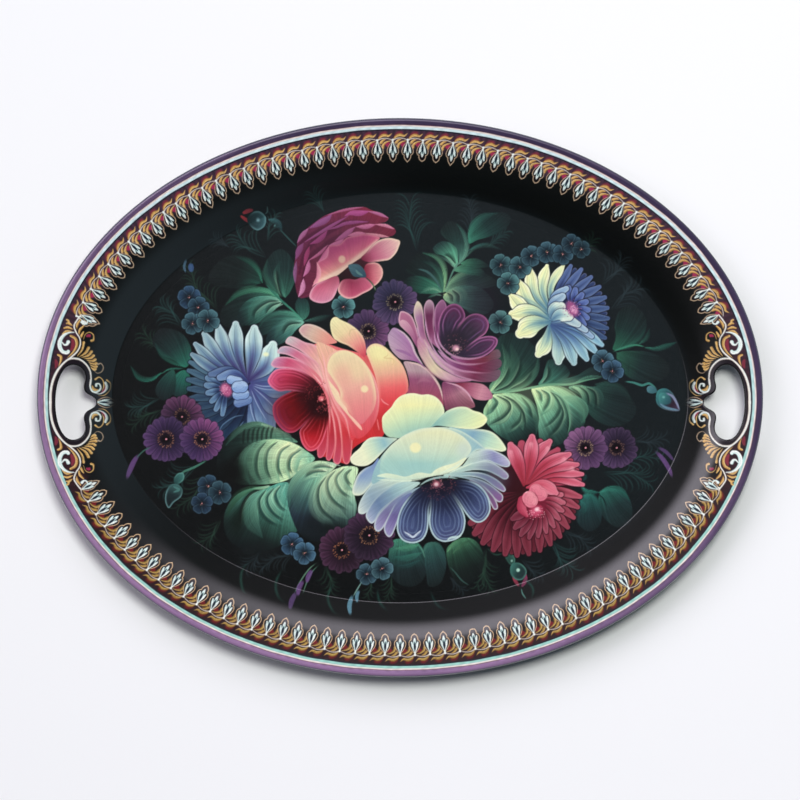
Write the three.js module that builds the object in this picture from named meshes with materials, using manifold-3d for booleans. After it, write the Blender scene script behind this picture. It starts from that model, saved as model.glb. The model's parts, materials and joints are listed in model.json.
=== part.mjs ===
// An oval painted serving tray: one pressed steel pan with two hand holes in its wide border,
// and the steel wire that its outer edge is rolled around.
// Millimetres, +Z up. The origin is under the middle of the floor, on the surface the tray stands on.

import * as THREE from "three";
import { mergeVertices } from "three/addons/utils/BufferGeometryUtils.js";
import Module from "manifold-3d";

const wasm = await Module();
wasm.setup();

// Driving dimensions, in millimetres, degrees and counts.
const LENGTH = 500; // along X, over the rolled edge
const WIDTH = 385; // along Y, over the rolled edge
const HEIGHT = 23; // from the surface it stands on to the top of the rolled edge
const SHEET = 1; // thickness of the steel sheet
const WIRE_RADIUS = 1.3;
const WIRE_GAP = 0.3; // free space between the wire and the inside of the curl
const CURL_SWEEP = 280; // how far round the wire the edge is rolled
const FLARE_ANGLE = 11; // slope of the wide outer border
const SHOULDER_INSET = 32; // from the outer edge to where the border's slope meets the wall's
const FLOOR_INSET = 50; // from the outer edge to where the wall's slope meets the floor
const SHOULDER_RADIUS = 14; // bend between border and wall, on the painted side
const FLOOR_RADIUS = 10; // bend between wall and floor, on the painted side
const HOLE_SHIFT = -3.3; // the hand holes sit this far off the tray's long axis
const SEGMENTS = 96; // steps round the tray
const CURL_STEPS = 10;
const FLOOR_BEND_STEPS = 3;
const SHOULDER_BEND_STEPS = 2;
const WIRE_SIDES = 10;
const HOLE_CURVE_STEPS = 5; // steps in each curve of a hand hole's outline

// The section is drawn in a plane whose x runs outwards from the outer edge (so the tray is at
// negative x) and whose y is the height above the surface that the tray stands on.
const degrees = THREE.MathUtils.degToRad;
const curlRadius = WIRE_RADIUS + WIRE_GAP + SHEET;
const flare = degrees(FLARE_ANGLE);
const curlCentre = new THREE.Vector2(-curlRadius, HEIGHT - curlRadius);
const flareEnd = curlCentre
  .clone()
  .add(new THREE.Vector2(-Math.sin(flare), Math.cos(flare)).multiplyScalar(curlRadius));
const shoulder = new THREE.Vector2(
  -SHOULDER_INSET,
  flareEnd.y - (flareEnd.x + SHOULDER_INSET) * Math.tan(flare),
);
const wall = Math.atan2(shoulder.y - SHEET, FLOOR_INSET - SHOULDER_INSET);

const floorBendCentre = new THREE.Vector2(
  -FLOOR_INSET - FLOOR_RADIUS * Math.tan(wall / 2),
  SHEET + FLOOR_RADIUS,
);
const shoulderTangent = SHOULDER_RADIUS * Math.tan((wall - flare) / 2);
const shoulderBendCentre = shoulder
  .clone()
  .add(new THREE.Vector2(-Math.cos(wall), -Math.sin(wall)).multiplyScalar(shoulderTangent))
  .add(new THREE.Vector2(Math.sin(wall), -Math.cos(wall)).multiplyScalar(SHOULDER_RADIUS));

// Points of an arc, both ends included, turning from one angle to the other.
function arc(centre, radius, from, to, steps) {
  return Array.from({ length: steps + 1 }, (_, i) => {
    const angle = from + ((to - from) * i) / steps;
    return new THREE.Vector2(Math.cos(angle), Math.sin(angle)).multiplyScalar(radius).add(centre);
  });
}

// One face of the sheet from the floor out to the end of the curl, a given depth below the painted side.
function sheetFace(depth) {
  const up = Math.PI / 2;
  return [
    ...arc(floorBendCentre, FLOOR_RADIUS + depth, -up, wall - up, FLOOR_BEND_STEPS),
    ...arc(shoulderBendCentre, SHOULDER_RADIUS - depth, up + wall, up + flare, SHOULDER_BEND_STEPS),
    ...arc(curlCentre, curlRadius - depth, up + flare, up + flare - degrees(CURL_SWEEP), CURL_STEPS),
  ];
}

// The point on the tray's plan at an angle and a distance in from its outer ellipse, square to the edge.
function planPoint(angle, inset, height) {
  const a = LENGTH / 2;
  const b = WIDTH / 2;
  const normal = new THREE.Vector2(b * Math.cos(angle), a * Math.sin(angle)).normalize();
  return new THREE.Vector3(
    a * Math.cos(angle) - inset * normal.x,
    b * Math.sin(angle) - inset * normal.y,
    height,
  );
}

// A solid made by carrying section points round the tray. A loop closes on itself.
// A chain starts and ends at the tray's centre, at the heights of its first and last points.
function sweepRoundTray(section, isLoop) {
  const points = section.flatMap((p) =>
    Array.from({ length: SEGMENTS }, (_, i) =>
      planPoint((2 * Math.PI * i) / SEGMENTS, -p.x, p.y),
    ),
  );
  const index = [];
  const bands = isLoop ? section.length : section.length - 1;
  for (let band = 0; band < bands; band++) {
    const inner = band * SEGMENTS;
    const outer = ((band + 1) % section.length) * SEGMENTS;
    for (let i = 0; i < SEGMENTS; i++) {
      const next = (i + 1) % SEGMENTS;
      index.push(inner + i, inner + next, outer + next);
      index.push(inner + i, outer + next, outer + i);
    }
  }
  if (!isLoop) {
    const last = (section.length - 1) * SEGMENTS;
    const centre = points.length;
    points.push(new THREE.Vector3(0, 0, section[0].y));
    points.push(new THREE.Vector3(0, 0, section[section.length - 1].y));
    for (let i = 0; i < SEGMENTS; i++) {
      const next = (i + 1) % SEGMENTS;
      index.push(centre, next, i);
      index.push(centre + 1, last + i, last + next);
    }
  }
  return new THREE.BufferGeometry().setFromPoints(points).setIndex(index);
}

// The outline of a hand hole on the side x = +1 or -1: a bowed outer edge, two round lobes,
// and a rounded nose that points at the middle of the tray.
// Each row is a curve: two control points and its end, as distance in from the tray's end and
// distance from the hole's own centre line. The second half mirrors the first.
function handHoleOutline(side) {
  const outerMiddle = [12.8, 0];
  const half = [
    [[12.8, 14], [17.5, 25.7], [24.5, 25.7]],
    [[29.5, 25.7], [32.8, 22], [32.8, 17.5]],
    [[32.8, 14.5], [31.6, 13], [31.8, 10]],
    [[32.2, 4], [39.8, 5.5], [39.8, 0]],
  ];
  const place = ([inset, offset]) => [side * (LENGTH / 2 - inset), HOLE_SHIFT + offset];
  const mirrored = ([inset, offset]) => [inset, -offset];
  const shape = new THREE.Shape();
  shape.moveTo(...place(outerMiddle));
  for (const curve of half) shape.bezierCurveTo(...curve.flatMap(place));
  for (let i = half.length - 1; i >= 0; i--) {
    const start = i > 0 ? half[i - 1][2] : outerMiddle;
    shape.bezierCurveTo(...[half[i][1], half[i][0], start].map(mirrored).flatMap(place));
  }
  return shape;
}

function solidOf(geometry) {
  const bare = geometry.clone();
  bare.deleteAttribute("normal");
  bare.deleteAttribute("uv");
  const merged = mergeVertices(bare);
  const mesh = new wasm.Mesh({
    numProp: 3,
    vertProperties: merged.attributes.position.array,
    triVerts: new Uint32Array(merged.index.array),
  });
  return new wasm.Manifold(mesh);
}

function geometryOf(solid) {
  const mesh = solid.getMesh();
  const geometry = new THREE.BufferGeometry();
  geometry.setAttribute("position", new THREE.BufferAttribute(mesh.vertProperties, 3));
  geometry.setIndex(new THREE.BufferAttribute(mesh.triVerts, 1));
  geometry.computeVertexNormals();
  return geometry;
}

// The pan: flat floor, sloping wall, wide flared border and the curl, with both hand holes cut out.
function trayPan() {
  const section = [...sheetFace(SHEET), ...sheetFace(0).reverse()];
  let pan = solidOf(sweepRoundTray(section, false));
  for (const side of [1, -1]) {
    const cutter = new THREE.ExtrudeGeometry(handHoleOutline(side), {
      depth: 2 * HEIGHT,
      bevelEnabled: false,
      curveSegments: HOLE_CURVE_STEPS,
    });
    pan = pan.subtract(solidOf(cutter.translate(0, 0, -HEIGHT / 2)));
  }
  const enamel = new THREE.MeshStandardMaterial({ color: 0x0e1413, roughness: 0.15, metalness: 0 });
  const mesh = new THREE.Mesh(geometryOf(pan), enamel);
  mesh.name = "tray_pan";
  return mesh;
}

// The wire inside the curl, all the way round.
function rimWire() {
  const circle = arc(curlCentre, WIRE_RADIUS, 0, 2 * Math.PI, WIRE_SIDES).slice(0, WIRE_SIDES);
  const steel = new THREE.MeshStandardMaterial({ color: 0x8c8f92, roughness: 0.45, metalness: 1 });
  const geometry = sweepRoundTray(circle, true);
  geometry.computeVertexNormals();
  const mesh = new THREE.Mesh(geometry, steel);
  mesh.name = "rim_wire";
  return mesh;
}

const tray = new THREE.Group();
tray.add(trayPan(), rimWire());

export default tray;
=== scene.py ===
"""A painted oval serving tray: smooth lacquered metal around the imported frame, with its bouquet and
border laid on stroke by stroke. Millimetres in the making, metres in the meshes. +X runs along the tray,
+Y to the picture's top."""

import json
import math

import bpy
import numpy as np
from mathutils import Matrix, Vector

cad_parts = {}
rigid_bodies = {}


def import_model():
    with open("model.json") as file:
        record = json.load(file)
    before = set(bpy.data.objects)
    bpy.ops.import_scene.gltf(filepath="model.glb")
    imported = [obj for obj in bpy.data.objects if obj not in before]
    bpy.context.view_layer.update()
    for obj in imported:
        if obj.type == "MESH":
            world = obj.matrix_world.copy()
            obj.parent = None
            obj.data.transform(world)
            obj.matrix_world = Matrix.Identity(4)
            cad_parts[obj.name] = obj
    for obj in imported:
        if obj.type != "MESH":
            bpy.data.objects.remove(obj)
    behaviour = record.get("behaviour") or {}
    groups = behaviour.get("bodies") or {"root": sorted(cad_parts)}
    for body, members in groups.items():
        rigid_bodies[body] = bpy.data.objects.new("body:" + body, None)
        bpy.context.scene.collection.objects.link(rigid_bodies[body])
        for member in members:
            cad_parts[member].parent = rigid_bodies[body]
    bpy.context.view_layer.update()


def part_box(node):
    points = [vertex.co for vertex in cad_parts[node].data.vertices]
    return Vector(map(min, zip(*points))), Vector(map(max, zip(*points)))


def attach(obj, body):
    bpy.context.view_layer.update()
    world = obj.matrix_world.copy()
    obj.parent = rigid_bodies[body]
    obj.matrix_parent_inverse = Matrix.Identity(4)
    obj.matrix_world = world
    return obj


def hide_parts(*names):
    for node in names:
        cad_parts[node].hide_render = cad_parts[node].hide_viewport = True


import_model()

# ---------------------------------------------------------------- sizes, in millimetres
MM = 0.001
pan_low, pan_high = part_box("tray_pan")
HALF_LENGTH = (pan_high.x - pan_low.x) / 2 / MM
HALF_WIDTH = (pan_high.y - pan_low.y) / 2 / MM
HEIGHT = (pan_high.z - pan_low.z) / MM
wire_low, wire_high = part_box("rim_wire")
SHEET = 1.0  # thickness of the steel
CURL_RADIUS = HEIGHT - (wire_high.z + wire_low.z) / 2 / MM  # outside of the rolled edge
CURL_SWEEP = math.radians(280)  # how far the edge is rolled round the wire
FLARE = math.radians(11)  # slope of the border
SHOULDER_INSET, FLOOR_INSET = 32.0, 50.0  # from the outer edge to where the slopes would meet
SHOULDER_RADIUS, FLOOR_RADIUS = 38.0, 1.0  # bends, on the painted side
HOLE_SHIFT = -3.3  # the hand holes' centre line, off the long axis

# ---------------------------------------------------------------- the tray's surface
flare_end = (CURL_RADIUS * (1 + math.sin(FLARE)), HEIGHT - CURL_RADIUS + CURL_RADIUS * math.cos(FLARE))
shoulder_height = flare_end[1] - (SHOULDER_INSET - flare_end[0]) * math.tan(FLARE)
WALL = math.atan2(shoulder_height - SHEET, FLOOR_INSET - SHOULDER_INSET)
floor_bend = (FLOOR_INSET + FLOOR_RADIUS * math.tan(WALL / 2), SHEET + FLOOR_RADIUS)
bend_run = SHOULDER_RADIUS * math.tan((WALL - FLARE) / 2)
shoulder_bend = (
    SHOULDER_INSET + bend_run * math.cos(WALL) - SHOULDER_RADIUS * math.sin(WALL),
    shoulder_height - bend_run * math.sin(WALL) - SHOULDER_RADIUS * math.cos(WALL),
)


def sheet_height(inset, depth=0.0):
    """Height of the sheet at a distance in from the outer edge, a depth below its painted face."""
    inset = np.asarray(inset, float)
    floor_r, shoulder_r, curl_r = FLOOR_RADIUS + depth, SHOULDER_RADIUS - depth, CURL_RADIUS - depth
    wall_line = SHEET + (FLOOR_INSET - inset) * math.tan(WALL) - depth / math.cos(WALL)
    flare_line = shoulder_height + (SHOULDER_INSET - inset) * math.tan(FLARE) - depth / math.cos(FLARE)
    with np.errstate(invalid="ignore"):
        floor_arc = floor_bend[1] - np.sqrt(floor_r**2 - (inset - floor_bend[0]) ** 2)
        shoulder_arc = shoulder_bend[1] + np.sqrt(shoulder_r**2 - (inset - shoulder_bend[0]) ** 2)
        curl_arc = HEIGHT - CURL_RADIUS + np.sqrt(curl_r**2 - (inset - CURL_RADIUS) ** 2)
    return np.select(
        [
            inset >= floor_bend[0],
            inset >= floor_bend[0] - floor_r * math.sin(WALL),
            inset >= shoulder_bend[0] + shoulder_r * math.sin(WALL),
            inset >= shoulder_bend[0] + shoulder_r * math.sin(FLARE),
            inset >= CURL_RADIUS + curl_r * math.sin(FLARE),
        ],
        [np.full_like(inset, SHEET - depth), floor_arc, wall_line, shoulder_arc, flare_line],
        curl_arc,
    )


def plan_point(angle, inset):
    """Plan position at an angle round the tray and a distance in, square to the outer ellipse."""
    nx, ny = HALF_WIDTH * np.cos(angle), HALF_LENGTH * np.sin(angle)
    size = np.hypot(nx, ny)
    return HALF_LENGTH * np.cos(angle) - inset * nx / size, HALF_WIDTH * np.sin(angle) - inset * ny / size


def inset_of(x, y):
    """Distance in from the outer ellipse to a plan point, by a few Newton steps on the ellipse's
    angle."""
    a, b = HALF_LENGTH, HALF_WIDTH
    angle = np.arctan2(a * y, b * x)
    for _ in range(6):
        c, s = np.cos(angle), np.sin(angle)
        px, py, dx, dy = a * c - x, b * s - y, -a * s, b * c
        slope = px * dx + py * dy
        angle = angle - slope / (dx * dx + dy * dy - px * a * c - py * b * s)
    gap = np.hypot(a * np.cos(angle) - x, b * np.sin(angle) - y)
    return np.where((x / a) ** 2 + (y / b) ** 2 < 1, gap, -gap)


def even_angles(count, inset):
    """Angles round the tray whose points at an inset are evenly spaced, from +X anticlockwise."""
    fine = np.linspace(0, 2 * math.pi, 20001)
    x, y = plan_point(fine, inset)
    run = np.concatenate([[0], np.cumsum(np.hypot(np.diff(x), np.diff(y)))])
    return np.interp(np.arange(count) / count * run[-1], run, fine), run[-1]


# ---------------------------------------------------------------- hand holes
# Half of the outline, as Bezier curves of (distance in from the tray's end, distance off the centre line).
HOLE_START = (12.8, 0.0)
HOLE_CURVES = [
    [(12.8, 14), (17.5, 25.7), (24.5, 25.7)],
    [(29.5, 25.7), (32.8, 22), (32.8, 17.5)],
    [(32.8, 14.5), (31.6, 13), (31.8, 10)],
    [(32.2, 4), (39.8, 5.5), (39.8, 0)],
]


def bezier(p0, p1, p2, p3, steps):
    t = np.linspace(0, 1, steps, endpoint=False)[:, None]
    p0, p1, p2, p3 = (np.array(p, float) for p in (p0, p1, p2, p3))
    return (1 - t) ** 3 * p0 + 3 * t * (1 - t) ** 2 * p1 + 3 * t * t * (1 - t) * p2 + t**3 * p3


def hole_outline(side, steps=16):
    """The closed outline of the hand hole at x = side, as plan points."""
    half, start = [], HOLE_START
    for c1, c2, end in HOLE_CURVES:
        half.append(bezier(start, c1, c2, end, steps))
        start = end
    half = np.concatenate([*half, [HOLE_CURVES[-1][2]]])
    whole = np.concatenate([half, half[-2:0:-1] * [1, -1]])
    return np.stack([side * (HALF_LENGTH - whole[:, 0]), HOLE_SHIFT + whole[:, 1]], 1)


def nearest_on(path, points):
    """For each point: distance to a polyline, share of its length there, and which side (+1 is left)."""
    a, d = path[:-1], np.diff(path, axis=0)
    length = np.maximum(np.hypot(d[:, 0], d[:, 1]), 1e-9)
    rel = points[:, None, :] - a[None]
    along = np.clip((rel * d).sum(2) / length**2, 0, 1)
    off = rel - along[..., None] * d
    far = np.hypot(off[..., 0], off[..., 1])
    best = far.argmin(1)
    row = np.arange(len(points))
    side = np.sign(d[best, 0] * off[row, best, 1] - d[best, 1] * off[row, best, 0])
    run = np.concatenate([[0], np.cumsum(length)])
    share = (run[best] + along[row, best] * length[best]) / run[-1]
    return far[row, best], share, np.where(side == 0, 1.0, side)


def inside_polygon(path, points):
    """True for points inside a closed polyline whose last point repeats its first."""
    x, y = points[:, :1], points[:, 1:]
    x0, y0, x1, y1 = path[:-1, 0], path[:-1, 1], path[1:, 0], path[1:, 1]
    crosses = (y0 > y) != (y1 > y)
    with np.errstate(divide="ignore", invalid="ignore"):
        at = x0 + (y - y0) * (x1 - x0) / (y1 - y0)
    return ((crosses & (x < at)).sum(1) % 2).astype(bool)


def hole_distance(x, y, side):
    """Signed plan distance to a hand hole's outline, negative inside it. Far points are left at 99."""
    loop = hole_outline(side)
    loop = np.concatenate([loop, loop[:1]])
    found = np.full(x.shape, 99.0)
    reach = 12
    low, high = loop.min(0) - reach, loop.max(0) + reach
    near = (x > low[0]) & (x < high[0]) & (y > low[1]) & (y < high[1])
    points = np.stack([x[near], y[near]], 1)
    gap = nearest_on(loop, points)[0]
    found[near] = np.where(inside_polygon(loop, points), -gap, gap)
    return found


# ---------------------------------------------------------------- the brush
def smooth_line(points, steps=7):
    """A smooth line through a few points (Catmull-Rom)."""
    p = np.array(points, float)
    if len(p) == 2:
        return p
    p = np.concatenate([[2 * p[0] - p[1]], p, [2 * p[-1] - p[-2]]])
    t = np.linspace(0, 1, steps, endpoint=False)[:, None]
    parts = []
    for p0, p1, p2, p3 in zip(p[:-3], p[1:-2], p[2:-1], p[3:]):
        parts.append(0.5 * (2 * p1 + (p2 - p0) * t + (2 * p0 - 5 * p1 + 4 * p2 - p3) * t**2
                            + (3 * p1 - p0 - 3 * p2 + p3) * t**3))
    return np.concatenate([*parts, [p[-2]]])


def smoothstep(x):
    x = np.clip(x, 0, 1)
    return x * x * (3 - 2 * x)


def rgba(colour, alpha=1.0):
    """A colour of three numbers from 0 to 255 becomes one of four from 0 to 1."""
    return [c / 255 for c in colour] + [alpha]


def load(*rows):
    """What a brush carries: rows from the stroke's start to its end, each from its left edge to its
    right. An entry is a colour, or a colour and its opacity."""
    table = []
    for row in rows:
        row = row if isinstance(row, list) else [row]
        table.append([rgba(*c) if isinstance(c[0], tuple) else rgba(c) for c in row])
    wide = max(len(r) for r in table)
    table = [r if len(r) == wide else [r[0]] * wide for r in table]
    return np.array(table, float)


def read_load(table, t, across):
    """The brush's colour and opacity at shares t along and across (-1 to 1) a stroke."""
    rows, cols = table.shape[:2]
    r = np.clip(t, 0, 1) * (rows - 1)
    c = np.clip((across + 1) / 2, 0, 1) * (cols - 1)
    r0, c0 = np.minimum(r.astype(int), max(rows - 2, 0)), np.minimum(c.astype(int), max(cols - 2, 0))
    r1, c1 = np.minimum(r0 + 1, rows - 1), np.minimum(c0 + 1, cols - 1)
    fr, fc = (r - r0)[:, None], (c - c0)[:, None]
    top = table[r0, c0] * (1 - fc) + table[r0, c1] * fc
    low = table[r1, c0] * (1 - fc) + table[r1, c1] * fc
    return top * (1 - fr) + low * fr


class Canvas:
    """Points on a grid, each with a place (u, v) in millimetres, a colour in display values and a paint
    height."""

    def __init__(self, u, v, colour, relief, regular=True):
        self.u, self.v, self.colour, self.relief, self.regular = u, v, colour, relief, regular

    def window(self, low, high):
        """The block of the grid that covers a box."""
        if self.regular:
            i = np.searchsorted(self.u[:, 0], [low[0], high[0]])
            j = np.searchsorted(self.v[0], [low[1], high[1]])
            return slice(*i), slice(*j)
        near = (self.u > low[0]) & (self.u < high[0]) & (self.v > low[1]) & (self.v < high[1])
        i, j = np.nonzero(near.any(1))[0], np.nonzero(near.any(0))[0]
        if not len(i):
            return slice(0, 0), slice(0, 0)
        return slice(i[0], i[-1] + 1), slice(j[0], j[-1] + 1)

    def lay(self, block, where, colour, alpha, relief):
        """Blends colours over the points of a block that a mask picks."""
        old = self.colour[block][where]
        alpha = alpha[:, None]
        self.colour[block][where] = old + (colour - old) * alpha
        self.relief[block][where] += relief * alpha[:, 0]


BRISTLES = np.random.default_rng(11).normal(size=(64, 48))


def bristle_marks(across, t, seed):
    """Streaks that run along a stroke, about -1 to 1."""
    row = BRISTLES[seed % 64]
    place = (across + 1) * 11 + 3 * np.sin(t * 3 + seed)
    k = np.floor(place).astype(int)
    f = place - k
    return (row[k % 48] * (1 - f) + row[(k + 1) % 48] * f) * 0.5


def stroke(canvas, points, half_width, paint, fade=(0, 0), bristle=0.06, soft=0.5, relief=0.02, seed=0,
           steps=7, spread=1.0):
    """One brush stroke along a smooth line. half_width is a number or a list along the stroke, paint
    comes from load(), fade is the share of the stroke over which it starts and ends thin, and spread
    blurs its two edges."""
    path = smooth_line(points, steps)
    widths = np.atleast_1d(np.array(half_width, float))
    if len(widths) > 1:
        widths = smooth_line(np.stack([np.linspace(0, 1, len(widths)), widths], 1), 6)
        knots, widths = widths[:, 0], np.maximum(widths[:, 1], 0)
    else:
        knots = np.array([0.0])
    reach = widths.max() + soft
    block = canvas.window(path.min(0) - reach, path.max(0) + reach)
    u, v = canvas.u[block], canvas.v[block]
    if u.size == 0:
        return
    where = (u > path[:, 0].min() - reach) & (u < path[:, 0].max() + reach)
    where &= (v > path[:, 1].min() - reach) & (v < path[:, 1].max() + reach)
    gap, t, side = nearest_on(path, np.stack([u[where], v[where]], 1))
    half = np.interp(t, knots, widths)
    across = side * gap / np.maximum(half, 1e-3)
    cover = np.clip((half - gap) / (soft * spread) + 0.5, 0, 1)
    if fade[0]:
        cover = cover * smoothstep(t / fade[0])
    if fade[1]:
        cover = cover * smoothstep((1 - t) / fade[1])
    laid = read_load(paint, t, -across)
    if bristle:
        mark = bristle_marks(across, t, seed)
        laid[:, :3] *= 1 + bristle * mark[:, None]
        cover = cover * np.clip(1 + 2.5 * bristle * mark, 0, 1)
    canvas.lay(block, where, np.clip(laid[:, :3], 0, 1), cover * laid[:, 3], relief * (1 - 0.5 * across**2))


def fill(canvas, points, paint, soft=0.5, relief=0.02, closed_smooth=True, steps=6):
    """A flat shape inside a closed smooth outline. paint is from load(), read from the shape's top to its
    bottom along the rows and from its left to its right along the columns."""
    p = np.array(points, float)
    if closed_smooth:
        n = len(p)
        p = smooth_line(np.concatenate([p[-1:], p, p[:2]]), steps)[steps : steps * (n + 1) + 1]
    else:
        p = np.concatenate([p, p[:1]])
    low, high = p.min(0), p.max(0)
    block = canvas.window(low - soft, high + soft)
    u, v = canvas.u[block], canvas.v[block]
    if u.size == 0:
        return
    where = (u > low[0] - soft) & (u < high[0] + soft) & (v > low[1] - soft) & (v < high[1] + soft)
    spots = np.stack([u[where], v[where]], 1)
    gap = nearest_on(p, spots)[0]
    gap = np.where(inside_polygon(p, spots), gap, -gap)
    size = np.maximum(high - low, 1e-6)
    share = (spots - low) / size
    laid = read_load(paint, 1 - share[:, 1], share[:, 0] * 2 - 1)
    canvas.lay(block, where, laid[:, :3], np.clip(gap / soft + 0.5, 0, 1) * laid[:, 3], relief)


# ---------------------------------------------------------------- paints, as the eye sees them (0 to 255)
GROUND = (9, 11, 10)
PLUM = (70, 47, 62)
MAROON = (44, 19, 22)
WHITE = (233, 240, 234)
MINT = (190, 222, 218)
CREAM = (226, 214, 202)
GOLD_LIGHT = (232, 196, 132)
GOLD = (212, 168, 98)
GOLD_DEEP = (156, 116, 58)
RED = (134, 46, 62)
CRIMSON = (158, 44, 80)
TAN = (192, 166, 138)
INKY = (9, 24, 40)
SHADE = (16, 10, 14)

# ---------------------------------------------------------------- the border's canvas
GRID = 0.36  # spacing of the paint's grid points
FILM_START, FILM_END = 3.2, 57.0  # the border's paint, from the top of the rolled edge to the floor
VINE_INSET = 15.4  # the garland's white vine
MOTIF_PITCH = 10.4
column_angles, BORDER_RUN = even_angles(int(round((2 * math.pi * 220 - 110) / GRID)), VINE_INSET)
column_angles = math.pi - column_angles  # clockwise, from the middle of the left end
column_runs = np.arange(len(column_angles)) * BORDER_RUN / len(column_angles)
row_insets = np.linspace(FILM_START, FILM_END, int(round((FILM_END - FILM_START) / GRID)) + 1)
border_run, border_inset = np.meshgrid(column_runs, row_insets, indexing="ij")
border_x, border_y = plan_point(column_angles[:, None], row_insets[None, :])
border_paint = np.zeros(border_x.shape + (3,))
border_relief = np.zeros(border_x.shape)
border = Canvas(border_run, border_inset, border_paint, border_relief)
rng = np.random.default_rng(7)


def blend_colours(a, b, share):
    return np.array(a, float) * (1 - share) + np.array(b, float) * share


def band(inset, start, end, soft=0.35):
    """1 between two insets, with soft ends."""
    return smoothstep((inset - start) / soft + 0.5) * smoothstep((end - inset) / soft + 0.5)


def rim_band_and_painted_sheen(angle, x, y):
    """The violet band on the rolled edge, partly paint and partly a painted reflection: lilac at the near
    side and the left, dark plum at the far side and right."""
    # painted sheen: the band is lighter towards the near side and the left, as the lacquered roll would
    # mirror the room; drift is brush variation
    painted_sheen = smoothstep(0.5 - 0.42 * y / HALF_WIDTH - 0.3 * x / HALF_LENGTH)
    drift = 0.06 * np.sin(angle * 9) + 0.04 * np.sin(angle * 23 + 1)
    share = np.clip(painted_sheen + drift, 0, 1)[..., None]
    return (np.array((54, 44, 70)) * (1 - share) + np.array((146, 114, 152)) * share) / 255


def paint_border_ground():
    """Enamel, the plum glaze under the garland, and the lines that frame it."""
    far = smoothstep(0.5 + border_y / (1.2 * HALF_WIDTH))[..., None]
    glaze = (np.array(MAROON) * (1 - far) + np.array(PLUM) * far) / 255
    wave = 1.5 * np.sin(border_run * 2 * math.pi / MOTIF_PITCH) + 0.9 * np.sin(border_run * 0.31)
    thick = (band(border_inset, 5, 21 + wave, 7) * (0.88 + 0.12 * np.sin(border_run * 1.7)))[..., None]
    border_paint[:] = np.array(GROUND) / 255 * (1 - thick) + glaze * thick
    wobble = 0.10 * np.sin(border_run * 0.05) + 0.06 * np.sin(border_run * 0.23 + 2)
    lines = [
        # the violet band on the rolled edge, with its painted sheen
        (0, 4.7, rim_band_and_painted_sheen(column_angles[:, None], border_x, border_y)),
        (4.7, 5.0, np.array((120, 60, 74)) / 255),
        (5.0, 6.1, np.array((228, 216, 210)) / 255),
        (6.0, 7.7, (np.array((150, 200, 190)) * (1 - far) + np.array((206, 228, 232)) * far) / 255),
        (7.7, 8.5, np.array((20, 26, 40)) / 255),
    ]
    for start, end, colour in lines:
        cover = band(border_inset + wobble, start, end)
        streak = 1 + 0.05 * np.sin(border_run * 0.9 + start * 40) * np.sin(border_run * 0.13)
        border_paint[:] += (colour * streak[..., None] - border_paint) * cover[..., None]
        border_relief[:] += 0.02 * cover * (start > 4)


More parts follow.
